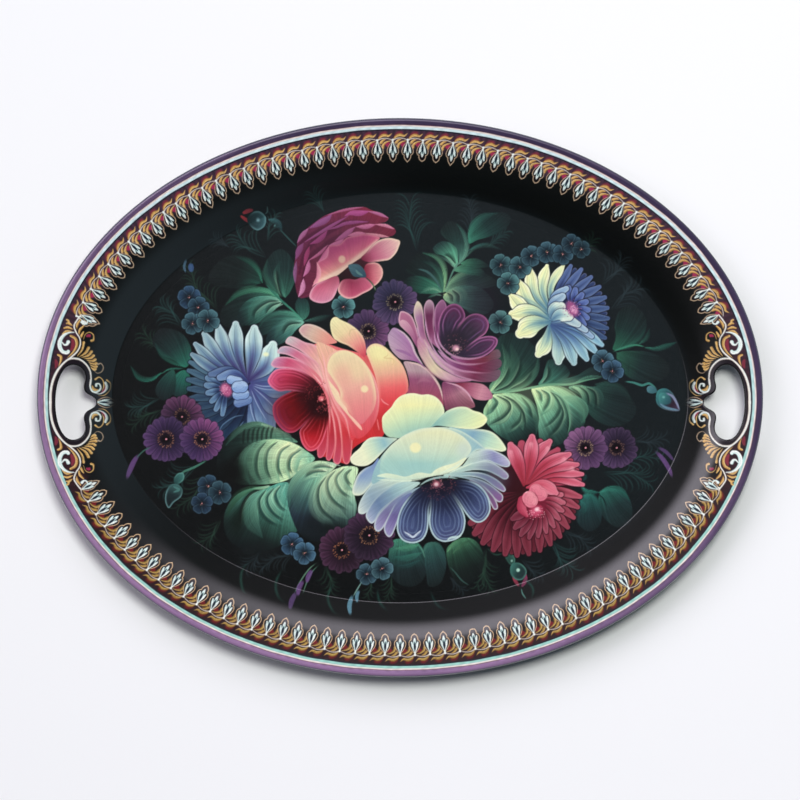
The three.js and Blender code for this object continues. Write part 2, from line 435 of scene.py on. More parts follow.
def garland_motif(at, far):
    """One repeat of the garland, from the vine's node at a run round the tray. far is 1 at the far
    side."""
    s = at + rng.normal(0, 0.12)
    gold_light = tuple(blend_colours((190, 158, 92), GOLD_LIGHT, far))
    gold = tuple(blend_colours((172, 140, 70), GOLD, far))
    gold_deep = tuple(blend_colours((112, 84, 34), GOLD_DEEP, far))
    red = tuple(blend_colours((112, 22, 26), RED, far))
    seed = int(rng.integers(64))
    drop = rng.normal(0, 0.3)

    def brush(points, width, paint, **how):
        stroke(border, [(s + p, d) for p, d in points], width, paint, seed=seed, **how)

    pitch = MOTIF_PITCH
    brush([(0.9, 14.2), (2.7, 11.5), (5.2, 10.2), (8.4, 10.7)], [0.2, 1.25, 1.35, 0.2],
          load([(red, 0.95), (red, 0.9), (red, 0.35)]), fade=(0.1, 0.3))
    brush([(0.4, 15.0), (2.2, 12.9), (4.8, 11.8), (7.9, 12.3), (10.1, 10.7)], [0.25, 0.85, 1.1, 0.75, 0.12],
          load([gold_light, gold, gold_deep]), bristle=0.1, relief=0.05)
    brush([(1.2, 14.2), (5.2, 13.1), (9.2, 14.2)], [0.1, 0.4, 0.1], load((SHADE, 0.85)))
    brush([(5.9, 14.7), (4.0, 15.4), (2.7, 16.8)], [0.2, 0.75, 1.0],
        load([gold_light, gold, gold_deep]), relief=0.05)
    brush([(9.0, 16.8), (7.4, 17.9), (5.9, 19.3)], [0.3, 1.5, 1.3],
        load((CRIMSON if far > 0.5 else red, 0.95)), fade=(0.2, 0.15))
    brush([(9.5, 15.7), (6.6, 16.4), (4.3, 18.1), (3.7, 20.3)], [0.15, 0.5, 0.8, 0.95],
          load([gold_light, gold, gold_deep]), bristle=0.1, relief=0.05)
    length = 29.6 + drop
    half = [(0, 15.9), (-2.1, 18.3), (-3.6, 21.0), (-4.0, 23.2), (-3.2, 24.9), (-2.4, 25.3),
        (-2.35, 26.6), (-1.6, 28.3), (0, length)]
    lean = rng.normal(0, 0.25)
    ring = [(s + p + lean * (d - 16) / 15, d) for p, d in half]
    ring += [(s - p + lean * (d - 16) / 15, d) for p, d in half[-2:0:-1]]
    fill(border, ring, load((SHADE, 0.92)), relief=0.0)
    tan = tuple(blend_colours((214, 180, 140), TAN, far))
    stroke(border, ring[: len(half)], [0.2, 0.26, 0.3, 0.34], load(tan), soft=0.4, relief=0.04, steps=6)
    stroke(border, [ring[0], *ring[: len(half) - 2 : -1]], [0.2, 0.26, 0.3, 0.34], load(tan), soft=0.4,
        relief=0.04, steps=6)
    for side in (-1, 1):
        brush([(0, 16.0), (side * 0.9, 19.8), (side * 2.2, 23.7)], [0.25, 0.7, 1.0, 0.5],
              load([MINT, WHITE, MINT]) if side > 0 else load([WHITE, WHITE, MINT]), relief=0.06)
    brush([(0, 23.0), (0, 24.8), (0, 26.5 + drop)], [0.9, 1.0, 0.45], load([MINT], [WHITE]), relief=0.06)
    brush([(0, 17.4), (0, 20.6), (0, 24.0)], [0.15, 0.85, 0.2], load(INKY), soft=0.4)
    vine = tuple(blend_colours((150, 140, 120), CREAM, 0.45 + 0.3 * far))
    brush([(0.1, 15.4), (2.2, 14.3), (5.2, 13.85), (8.3, 14.4), (pitch + 0.1, 15.4)],
        [0.46, 0.36, 0.3, 0.26], load([vine, CREAM]), relief=0.06)
    brush([(0.0, 15.0), (0.05, 16.6)], [0.7, 0.4], load(WHITE), relief=0.06)


def garland_ends():
    """Runs round the tray between which the garland is painted: its top and its bottom stretch."""
    y = plan_point(column_angles, VINE_INSET)[1]
    top = column_runs[(y > HOLE_SHIFT + 59.0)]
    bottom = column_runs[(y < HOLE_SHIFT - 59.0)]
    return [(top.min(), top.max()), (bottom.min(), bottom.max())]


def paint_garland():
    for start, end in garland_ends():
        count = int(round((end - start) / MOTIF_PITCH))
        for i in range(count):
            at = start + (end - start) * i / count
            y = np.interp(at, column_runs, plan_point(column_angles, VINE_INSET)[1])
            garland_motif(at, float(smoothstep(0.5 + y / (1.4 * HALF_WIDTH))))


# ---------------------------------------------------------------- ornament round the hand holes
# Places here are (distance in from the tray's end, distance off the hole's centre line), for the upper half.
FAN_ROOTS = [(27.6, 31.7), (28.6, 31.2), (30.4, 30.9), (32.2, 30.2), (33.8, 29.2), (35.0, 27.8),
    (35.9, 26.2), (36.4, 24.6)]
FAN_TIPS = [(31.9, 41.2), (35.2, 37.6), (37.1, 35.0), (38.4, 32.3), (39.4, 29.6), (40.0, 27.0),
    (40.1, 24.9), (39.4, 23.1)]


def half_handle(canvas):
    """The strokes on one side of a hand hole's centre line."""
    gold = load([GOLD_DEEP, GOLD, GOLD_LIGHT])
    gold_back = load([GOLD_LIGHT, GOLD, GOLD_DEEP])
    white = load([MINT, WHITE, WHITE])

    def brush(points, width, paint, **how):
        how.setdefault("relief", 0.05)
        stroke(canvas, points, width, paint, seed=len(points) * 7 + int(points[0][0]), **how)

    # red shadows first
    brush([(12.6, 30.5), (13.6, 26.6), (12.6, 22.5)], [0.4, 1.2, 0.2], load((RED, 0.85)), fade=(0.2, 0.2))
    brush([(24.0, 44.2), (25.0, 39.6), (22.9, 34.4)], [0.5, 1.5, 0.2], load((RED, 0.9)), fade=(0.1, 0.2))
    brush([(33.4, 45.0), (35.2, 46.0), (36.9, 45.6)], [0.2, 1.0, 0.9], load((CRIMSON, 0.95)),
        fade=(0.2, 0.1))
    # gold leaves outside and inside the vine
    for tip, root in [((20.7, 56.6), (22.6, 54.8)), ((20.6, 54.2), (24.6, 52.6)), ((18.9, 51.0),
            (25.0, 50.2)), ((17.9, 46.9), (24.2, 48.9))]:
        middle = ((tip[0] + root[0]) / 2 - 0.6, (tip[1] + root[1]) / 2 + 0.9)
        brush([tip, middle, root], [0.55, 0.85, 0.15], gold_back)
    for points in [[(30.1, 56.9), (27.8, 53.6), (27.0, 49.2)], [(32.0, 52.5), (29.5, 49.8), (28.8, 46.2)],
                   [(32.0, 48.4), (30.6, 45.9), (30.0, 43.4)]]:
        brush(points, [0.5, 0.85, 0.2], gold)
    brush([(14.7, 32.7), (16.7, 31.4), (16.4, 28.2), (14.9, 24.4)], [0.7, 0.95, 0.55, 0.1], gold)
    brush([(23.3, 45.8), (26.5, 43.8), (27.4, 39.4), (25.0, 34.6), (20.8, 30.4)],
        [0.75, 1.0, 0.85, 0.6, 0.1], gold)
    # the fan of gold leaves over the hole's inner shoulder
    for root, tip in zip(FAN_ROOTS, FAN_TIPS):
        bend = ((root[0] * 0.4 + tip[0] * 0.6) + 0.5, (root[1] * 0.4 + tip[1] * 0.6) - 0.9)
        brush([root, bend, tip], [0.15, 0.85, 1.0], load([GOLD_DEEP, GOLD, GOLD_LIGHT]), bristle=0.1)
    for root, tip in zip(FAN_ROOTS[1:], FAN_TIPS[1:]):
        bend = ((root[0] * 0.5 + tip[0] * 0.5) + 0.1, (root[1] * 0.5 + tip[1] * 0.5) + 0.2)
        brush([(root[0], root[1] + 0.3), bend, (tip[0] - 0.9, tip[1] + 0.9)], [0.1, 0.28, 0.1],
            load((SHADE, 0.9)), relief=0)
    # small curls of thin gold
    brush([(31.9, 43.4), (33.2, 46.9), (36.0, 48.3), (38.5, 46.6), (38.6, 43.2), (37.2, 42.4)],
          [0.15, 0.25, 0.32, 0.38, 0.5, 0.85], gold)
    brush([(38.4, 22.2), (40.6, 20.2), (43.4, 21.2), (44.6, 24.2), (43.2, 26.8), (41.3, 26.4)],
          [0.12, 0.22, 0.3, 0.32, 0.3, 0.62], load(TAN))
    # scrolls beside the nose of the hole
    brush([(39.4, 15.9), (41.8, 17.4), (44.2, 15.2), (44.8, 11.2), (43.6, 7.8)],
        [0.65, 0.35, 0.35, 0.4, 0.1], load([GOLD, GOLD_LIGHT]))
    brush([(46.8, 15.4), (49.0, 13.0), (48.6, 8.6), (45.2, 5.0), (41.4, 4.6)],
        [0.6, 0.4, 0.32, 0.3, 0.1], load([GOLD, GOLD_LIGHT]))
    brush([(43.0, 6.3), (45.4, 8.6), (45.6, 10.8)], [0.3, 0.85, 0.3], load((CRIMSON, 0.95)))
    brush([(45.9, 13.6), (46.7, 10.6), (45.3, 7.6), (42.0, 5.8), (38.8, 6.6)],
        [0.8, 0.85, 0.5, 0.35, 0.2], white)
    brush([(37.4, 11.2), (38.6, 8.9), (41.0, 8.6)], [0.5, 1.05, 0.5], gold)
    brush([(36.4, 15.5), (36.0, 11.2), (37.4, 7.7), (40.4, 7.2), (42.7, 9.6), (42.0, 12.6),
            (40.0, 12.6), (39.9, 11.4)], [0.5, 0.5, 0.6, 0.65, 0.7, 0.6, 0.55, 0.8], white, relief=0.07)
    # the big white scroll
    brush([(25.6, 48.2), (22.0, 47.9), (18.4, 45.9), (16.1, 42.4), (15.9, 38.2), (17.8, 34.9),
            (20.6, 34.2), (21.6, 35.0)], [0.3, 0.55, 0.95, 1.25, 1.45, 1.4, 1.2, 1.2], white,
        relief=0.07)
    brush([(17.5, 41.3), (18.9, 39.7), (20.6, 39.9), (21.6, 41.6)], [0.4, 0.6, 0.9, 1.25], white,
        relief=0.07)
    # the white vine that runs down from the garland and on round the hole
    vine = [(30.6, 60.2), (27.6, 56.4), (25.7, 52.6), (27.0, 48.2), (29.4, 44.2), (29.7, 39.6),
        (27.6, 35.0), (23.4, 31.0), (18.2, 26.8), (13.8, 21.0), (10.9, 14.0), (9.6, 6.5), (9.4, -0.5)]
    brush([(p[0] + 0.9, p[1] - 0.7) for p in vine[2:9]], 0.42, load((SHADE, 0.9)), relief=0)
    brush(vine, [0.45, 0.5, 0.5, 0.45, 0.5, 0.55, 0.55, 0.6, 0.8, 0.85, 0.8, 0.85, 0.9],
        load([CREAM, WHITE]), relief=0.06)
    brush([(18.2, 26.6), (21.2, 29.2), (24.8, 30.2), (29.4, 29.4), (33.4, 26.2), (36.0, 21.6),
            (36.6, 16.0), (36.2, 12.2)], [0.3, 0.55, 0.65, 0.65, 0.6, 0.55, 0.5, 0.5],
        load([WHITE, CREAM]), relief=0.06)
    # the first pendant of the garland, half hidden by the scroll
    pendant(canvas, (30.8, 60.0), (42.6, 54.2), 2.9)
    brush([(34.9, 56.2), (34.2, 54.4), (32.4, 53.9), (31.0, 55.2)], [0.35, 0.5, 0.6, 1.0], white,
        relief=0.07)


def pendant(canvas, root, tip, half_width):
    """A palmette: a gold ogee outline round a white leaf with a dark core, from its root to its tip."""
    root, tip = np.array(root, float), np.array(tip, float)
    along = tip - root
    across = np.array([-along[1], along[0]]) / np.hypot(*along) * half_width

    def place(a, c):
        return tuple(root + along * a + across * c)

    shape = [(0, 0), (0.2, 0.66), (0.45, 1.0), (0.64, 0.86), (0.71, 0.64), (0.86, 0.42), (1, 0)]
    ring = [place(a, c) for a, c in shape] + [place(a, -c) for a, c in shape[-2:0:-1]]
    fill(canvas, ring, load((SHADE, 0.92)), relief=0)
    for side in (1, -1):
        edge = [place(a, c * side) for a, c in shape]
        stroke(canvas, edge, [0.25, 0.32, 0.32, 0.38], load(TAN), relief=0.04)
        stroke(canvas, [place(0.03, 0), place(0.32, 0.26 * side), place(0.62, 0.56 * side)],
            [0.3, 0.75, 0.95, 0.4], load([WHITE, MINT]), relief=0.06)
    stroke(canvas, [place(0.55, 0), place(0.7, 0), place(0.82, 0)], [0.85, 0.9, 0.35], load(WHITE),
        relief=0.06)
    stroke(canvas, [place(0.14, 0), place(0.38, 0), place(0.6, 0)], [0.12, 0.68, 0.15], load(INKY))


def paint_handles():
    """Ornament round both hand holes, the lower halves mirroring the upper ones and the right end the
    left."""
    for side in (-1, 1):
        for half in (-1, 1):
            near = (border_x * side > HALF_LENGTH - 62) & (np.abs(border_y) < 82)
            columns = np.nonzero(near.any(1))[0]
            runs = np.split(columns, np.nonzero(np.diff(columns) > 1)[0] + 1)
            for run in runs:
                block = slice(run[0], run[-1] + 1)
                canvas = Canvas(HALF_LENGTH - side * border_x[block], half * (border_y[block] - HOLE_SHIFT),
                                border_paint[block], border_relief[block], regular=False)
                if half == -1:
                    shade_hole(side, block)
                half_handle(canvas)
                if half == 1:
                    pendant(canvas, (39.9, 0.2), (53.6, -0.3), 3.6)


def shade_hole(side, block):
    """Dark enamel between a hand hole and the pale line that frames it."""
    gap = hole_distance(border_x[block], border_y[block], side)
    cover = (smoothstep((4.4 - gap) / 1.2 + 0.5) * 0.9)[..., None]
    dark = np.array((27, 19, 26)) / 255
    border_paint[block] += (dark - border_paint[block]) * cover


paint_border_ground()
paint_garland()
paint_handles()


# ---------------------------------------------------------------- the floor's canvas
FLOOR_GRID = 0.4
FLOOR_EDGE = 55.4  # the bouquet's paint starts this far in from the outer edge
across = np.arange(-HALF_LENGTH + FLOOR_EDGE - 1, HALF_LENGTH - FLOOR_EDGE + 1, FLOOR_GRID)
upward = np.arange(-HALF_WIDTH + FLOOR_EDGE - 1, HALF_WIDTH - FLOOR_EDGE + 1, FLOOR_GRID)
floor_x, floor_y = np.meshgrid(across, upward, indexing="ij")
floor_paint = np.tile(np.array(GROUND) / 255, floor_x.shape + (1,))
floor_relief = np.zeros(floor_x.shape)
floor = Canvas(floor_x, floor_y, floor_paint, floor_relief)
WALL_START = 36.0  # the bouquet's outermost strokes run up the wall to here
wall_block = (slice(None), slice(int(np.searchsorted(row_insets, WALL_START)), None))
wall = Canvas(border_x[wall_block], border_y[wall_block], border_paint[wall_block],
    border_relief[wall_block], regular=False)
surface = floor  # what is painted on just now


def petal(points, paint, root, tip, rim=None, lines=(), streak=0.05, soft=0.5, relief=0.03, seed=0, steps=5):
    """A petal or leaf blade inside a closed smooth outline, painted from its root to its tip and from its
    left to its right. rim and lines are (depth, width, colour, opacity) lines that follow the outline and
    fade at the root."""
    p = np.array(points, float)
    n = len(p)
    p = smooth_line(np.concatenate([p[-1:], p, p[:2]]), steps)[steps : steps * (n + 1) + 1]
    low, high = p.min(0), p.max(0)
    block = surface.window(low - soft, high + soft)
    u, v = surface.u[block], surface.v[block]
    if u.size == 0:
        return
    spots = np.stack([u.ravel(), v.ravel()], 1)
    gap = nearest_on(p, spots)[0]
    gap = np.where(inside_polygon(p, spots), gap, -gap)
    where = (gap > -soft).reshape(u.shape)
    spots, gap = spots[where.ravel()], gap[where.ravel()]
    root, tip = np.array(root, float), np.array(tip, float)
    along = tip - root
    length = np.hypot(*along)
    left = np.array([-along[1], along[0]]) / length
    t = (spots - root) @ along / length**2
    half = max(np.abs((p - root) @ left).max(), 1e-6)
    laid = read_load(paint, t, -(spots - root) @ left / half)
    if streak:
        back = spots - root + 0.5 * along
        turn = np.arctan2(back @ left, back @ along / length)
        mark = bristle_marks(turn * length / 4.5, t, seed)
        mark = mark + 0.5 * bristle_marks(turn * length / 1.6, t * 0.3, seed + 9)
        laid[:, :3] *= 1 + streak * mark[:, None]
    for depth, width, colour, opacity in [*([rim] if rim else []), *lines]:
        share = opacity * np.exp(-(((gap - depth) / width) ** 2)) * smoothstep((t - 0.05) / 0.45)
        laid[:, :3] += (np.array(colour) / 255 - laid[:, :3]) * share[:, None]
    cover = np.clip(gap / soft + 0.5, 0, 1)
    surface.lay(block, where, np.clip(laid[:, :3], 0, 1), cover * laid[:, 3], relief
        * np.clip(gap / 1.5, 0, 1))


def glow(x, y, rx, ry, colour, opacity, tilt=0.0, core=0.0):
    """A soft oval of colour, full inside its core share and fading to nothing at its radii."""
    reach = max(rx, ry)
    block = surface.window((x - reach, y - reach), (x + reach, y + reach))
    u, v = surface.u[block] - x, surface.v[block] - y
    c, s = math.cos(math.radians(tilt)), math.sin(math.radians(tilt))
    far = np.hypot((u * c + v * s) / rx, (v * c - u * s) / ry)
    share = opacity * smoothstep((1 - far) / max(1 - core, 1e-3))
    surface.colour[block] += (np.array(colour) / 255 - surface.colour[block]) * share[..., None]


def line(points, width, colour, opacity=1.0, end=None, fade=(0.15, 0.15), soft=0.45):
    """A thin painted line, as narrow at its ends as a pointed brush leaves it."""
    widths = [width * 0.35, width, width, width * 0.3]
    stroke(surface, points, widths, load((colour, opacity), (end or colour, opacity)), fade=fade,
        soft=soft, relief=0.02)


def dab(x, y, rx, ry, colour, opacity=1.0, tilt=0.0):
    """A small round touch of paint."""
    c, s = math.cos(math.radians(tilt)), math.sin(math.radians(tilt))
    reach = max(rx - ry, 0.02)
    stroke(surface, [(x - reach * c, y - reach * s), (x + reach * c, y + reach * s)], ry,
        load((colour, opacity)), bristle=0.03, relief=0.04)


def stamens(x, y, radii, count, colours, start=0.0, sweep=360.0, size=0.3):
    """Dots scattered in a ring, or a part of one, round a flower's centre."""
    for _ in range(count):
        angle = math.radians(start + sweep * rng.random())
        far = radii[0] + (radii[1] - radii[0]) * rng.random()
        colour = colours[int(rng.integers(len(colours)))]
        dab(x + far * math.cos(angle), y + far * math.sin(angle), size, size * (0.7 + 0.5
                * rng.random()), colour, 0.85)


def ray(root, tip, width, base, body, end, bend=0.0, edge=(20, 20, 32), seed=0, point=0.5, gleam=0.3,
    opacity=1.0):
    """A long petal of a many-petalled flower: shaded down its middle, with light edges and a round light
    tip."""
    root, tip = np.array(root, float), np.array(tip, float)
    along = tip - root
    side = np.array([-along[1], along[0]])
    tip = tip - along / np.hypot(*along) * width * point * 0.9
    widths = [width * k for k in (0.16, 0.4, 0.66, 0.88, 1.0, 0.93, point)]
    path = [tuple(root), tuple((root + tip) / 2 + side * bend), tuple(tip)]
    light = mixed(end, (250, 250, 246), gleam)
    half, deep = mixed(body, end, 0.55), mixed(body, base, 0.55)
    stroke(surface, path, [w + 0.5 for w in widths], load((edge, 0.0), (edge, 0.8), (edge, 0.85)),
        bristle=0, relief=0, soft=0.9)
    paint = load([base], [mixed(half, base, 0.3), deep, base, deep, mixed(half, base, 0.3)],
        [half, body, deep, body, half], [light, end, mixed(body, end, 0.4), end, light],
        [light, end, end, end, light])
    paint[..., 3] *= opacity
    stroke(surface, path, widths, paint, bristle=0.05, seed=seed, relief=0.04)


def between(rays, share, draw):
    """Fills the gaps between neighbouring petals: draws one behind each pair, a little shorter."""
    for (root, tip, width), (_, tip2, width2) in zip(rays, rays[1:]):
        middle = ((tip[0] + tip2[0]) / 2, (tip[1] + tip2[1]) / 2)
        draw(root, mixed_place(root, middle, share), (width + width2) / 2)


def mixed_place(a, b, share):
    return (a[0] + (b[0] - a[0]) * share, a[1] + (b[1] - a[1]) * share)


# ---------------------------------------------------------------- the bouquet, back to front
def mixed(a, b, share):
    return tuple(float(p + (q - p) * share) for p, q in zip(a, b))


def peony():
    """The pink peony at the top, seen from its side, with a dark teal calyx."""
    maroon, wine = (112, 40, 58), (92, 34, 58)
    petal([(-70.5, 70), (-73, 80), (-73.5, 92), (-71.5, 103), (-71, 108), (-66, 116), (-60, 121),
            (-52, 126.5), (-43, 129.5), (-33, 131.5), (-25, 132.3), (-20, 130.3), (-14, 128),
            (-8, 124.8), (-10, 122), (-13.5, 121), (-9, 120), (-4, 117.5), (-3, 114.5), (-7, 111.8),
            (-20, 112), (-40, 108), (-55, 98), (-58, 85), (-62, 72), (-65, 69.5)], load([wine, maroon],
            [(84, 34, 66), maroon], [(96, 44, 82), (126, 40, 56)]), (-45, 98), (-52, 128), streak=0.1)
    for points in [[(-72, 103), (-66, 110), (-56, 115.5), (-42, 121), (-22, 122)], [(-70, 86),
            (-67, 97), (-61, 107), (-51, 114), (-40, 119)], [(-68, 78), (-66, 90), (-62, 98),
            (-54, 104), (-46, 110), (-32, 117)]]:
        stroke(surface, points, [0.6, 1.6, 1.8, 0.5], load(((60, 18, 40), 0.55)), spread=2.5)
    rims = [
        ([(-71.3, 107.5), (-68, 112.5), (-63.5, 117.5)], 1.5, (168, 104, 146)),
        ([(-63, 117.5), (-57, 120.5), (-50.5, 124), (-47, 128)], 2.1, (150, 88, 140)),
        ([(-50, 126.8), (-41, 129.6), (-33, 131.2), (-25.5, 132.2)], 0.9, (176, 98, 132)),
        ([(-38.5, 126), (-34, 128), (-28, 128), (-21, 129.3)], 1.9, (178, 84, 140)),
        ([(-22, 129.2), (-15, 127.6), (-8.2, 124.8)], 1.1, (186, 112, 150)),
        ([(-72.3, 96), (-70.2, 102), (-67, 107.3)], 2.0, (132, 74, 118)),
        ([(-66, 108), (-59.5, 112), (-50, 117.8), (-42, 122.5), (-36, 126)], 1.1, (156, 82, 134)),
        ([(-62.5, 106.5), (-57, 109), (-53, 112.5), (-50.5, 116)], 1.7, (158, 68, 122)),
        ([(-50, 116.6), (-44, 118.3), (-38, 120.8), (-30, 121.8), (-22, 122)], 1.2, (154, 78, 130)),
        ([(-72.8, 79.5), (-72.9, 87), (-71.9, 94.5)], 1.3, (132, 88, 126)),
        ([(-66.5, 91.5), (-65, 98), (-62.8, 105)], 1.5, (156, 62, 104)),
        ([(-67, 84), (-64.2, 89), (-63.2, 95.5)], 1.6, (204, 122, 164)),
        ([(-63.2, 95.3), (-56, 100), (-50, 106)], 1.0, (196, 108, 146)),
        ([(-49.5, 105.4), (-43, 106.8), (-39, 110.3)], 1.9, (200, 114, 154)),
        ([(-45, 108.8), (-38, 113), (-31, 118.6)], 1.9, (178, 98, 144)),
        ([(-30.5, 118.6), (-24, 118.6), (-17, 120.1)], 1.6, (204, 118, 156)),
        ([(-17, 120.2), (-10, 119.4), (-4, 117)], 1.1, (212, 136, 158)),
        ([(-36, 112.4), (-30, 113.4), (-24, 114)], 1.7, (210, 124, 156)),
        ([(-24, 114), (-16, 112.6), (-7.5, 111.4)], 1.1, (216, 146, 156)),
        ([(-70.5, 69.8), (-67.8, 75), (-67, 82.5)], 1.7, (214, 146, 180)),
    ]
    for points, width, colour in rims:
        stroke(surface, points, [0.2, width * 0.9, width, 0.15], load([colour, mixed(colour,
                    (90, 30, 60), 0.35)]), bristle=0.08, relief=0.05)
    petal([(-60, 79), (-57, 86), (-57, 94), (-51, 98), (-49.5, 105), (-42, 106.5), (-37, 111),
            (-30, 112.5), (-24, 113.5), (-14, 111), (-19, 106), (-24, 100), (-30, 95), (-34, 93),
            (-38, 89), (-45, 84), (-52, 81)], load([(240, 206, 178)], [(226, 150, 142)],
            [(206, 100, 126)], [(176, 72, 112)], [(158, 60, 104)]), (-37, 87), (-46, 107), streak=0.05,
        rim=(0.2, 0.9, (240, 180, 170), 0.35))
    stroke(surface, [(-60.8, 77.3), (-57.3, 82), (-56.3, 88), (-57.7, 94)], [0.2, 1.4, 1.5, 0.2],
        load([(208, 120, 146), (236, 168, 174)]), relief=0.05)
    stroke(surface, [(-57, 94), (-52.3, 98.5), (-49.6, 104.8)], [0.2, 1.9, 0.2], load([(186, 88, 132),
                (222, 134, 162)]), relief=0.05)
    stroke(surface, [(-56, 81.5), (-46, 85.5), (-37, 91), (-31, 95.8), (-22, 103.5), (-16, 109.5)],
        [0.3, 1.5, 1.7, 1.7, 1.2, 0.3], load(((246, 220, 192), 0.7)), spread=4)
    glow(-40.3, 96, 3.1, 3.3, (240, 196, 168), 0.95, core=0.55)
    petal([(-43, 84), (-38, 89), (-33, 93), (-27, 96.5), (-21, 94.5), (-22, 88), (-31, 82), (-41, 80)],
          load((58, 22, 30), (30, 16, 18)), (-22, 92), (-40, 82), streak=0)
    petal([(-27, 96.5), (-23, 101), (-19, 106), (-14, 109.5), (-8, 110.8), (-3, 110), (0, 108.5),
            (-0.8, 104.5), (-3, 100), (-7, 96), (-11, 95), (-17, 94.3), (-22, 94)], load((120, 30, 56),
            (192, 96, 124), (206, 140, 150), (214, 172, 164)), (-26, 95), (-2, 106), rim=(0.3, 1.0,
            (232, 206, 180), 0.85))
    petal([(-24, 92), (-19, 93.8), (-15, 93), (-12.5, 90), (-11.8, 86), (-13.5, 81.5), (-18, 77.5),
            (-22, 80), (-25.5, 84)], load((128, 28, 52), (196, 104, 116), (220, 158, 152)), (-25, 86),
        (-12, 87), rim=(0.3, 0.8, (234, 190, 172), 0.7))
    petal([(-42.5, 78), (-43, 74), (-40.5, 70.5), (-36, 68.6), (-31, 69.3), (-26, 72), (-21, 74.5),
            (-18.5, 77.5), (-21, 81.5), (-26, 83.5), (-31, 82), (-36, 82.5), (-40, 81.5)],
        load([(198, 110, 130), (120, 34, 60), (190, 110, 124)], [(196, 90, 118), (190, 84, 112),
                (224, 170, 162)]), (-34, 84), (-33, 68), rim=(0.3, 1.0, (236, 188, 178), 0.8))
    petal([(-63, 70), (-60.5, 67), (-55, 65.5), (-49.5, 66.5), (-46, 69.5), (-43.5, 75), (-42, 80),
            (-44, 84.5), (-52, 81.5), (-58, 79), (-61.5, 75)], load([(196, 108, 130), (130, 36, 58)],
            [(214, 140, 158), (178, 70, 100)], [(196, 128, 158), (206, 122, 142)]), (-47, 84),
        (-57, 66), rim=(0.3, 1.0, (222, 168, 182), 0.75))
    petal([(-36, 91.5), (-33, 92.7), (-29, 92.5), (-25.5, 89.5), (-23.7, 86), (-24, 83.5), (-29, 83.5),
            (-33, 85)], load([(44, 74, 88)], [(62, 104, 112)]), (-24, 84), (-33, 92), streak=0.15)
    line([(-31, 89), (-29, 86.5), (-25.5, 84.5)], 0.7, (104, 150, 140), 0.7)
    line([(-24.5, 84), (-20.5, 80.5), (-18, 77), (-16.6, 73.6)], 0.5, (40, 30, 34), 1, (120, 150, 110))


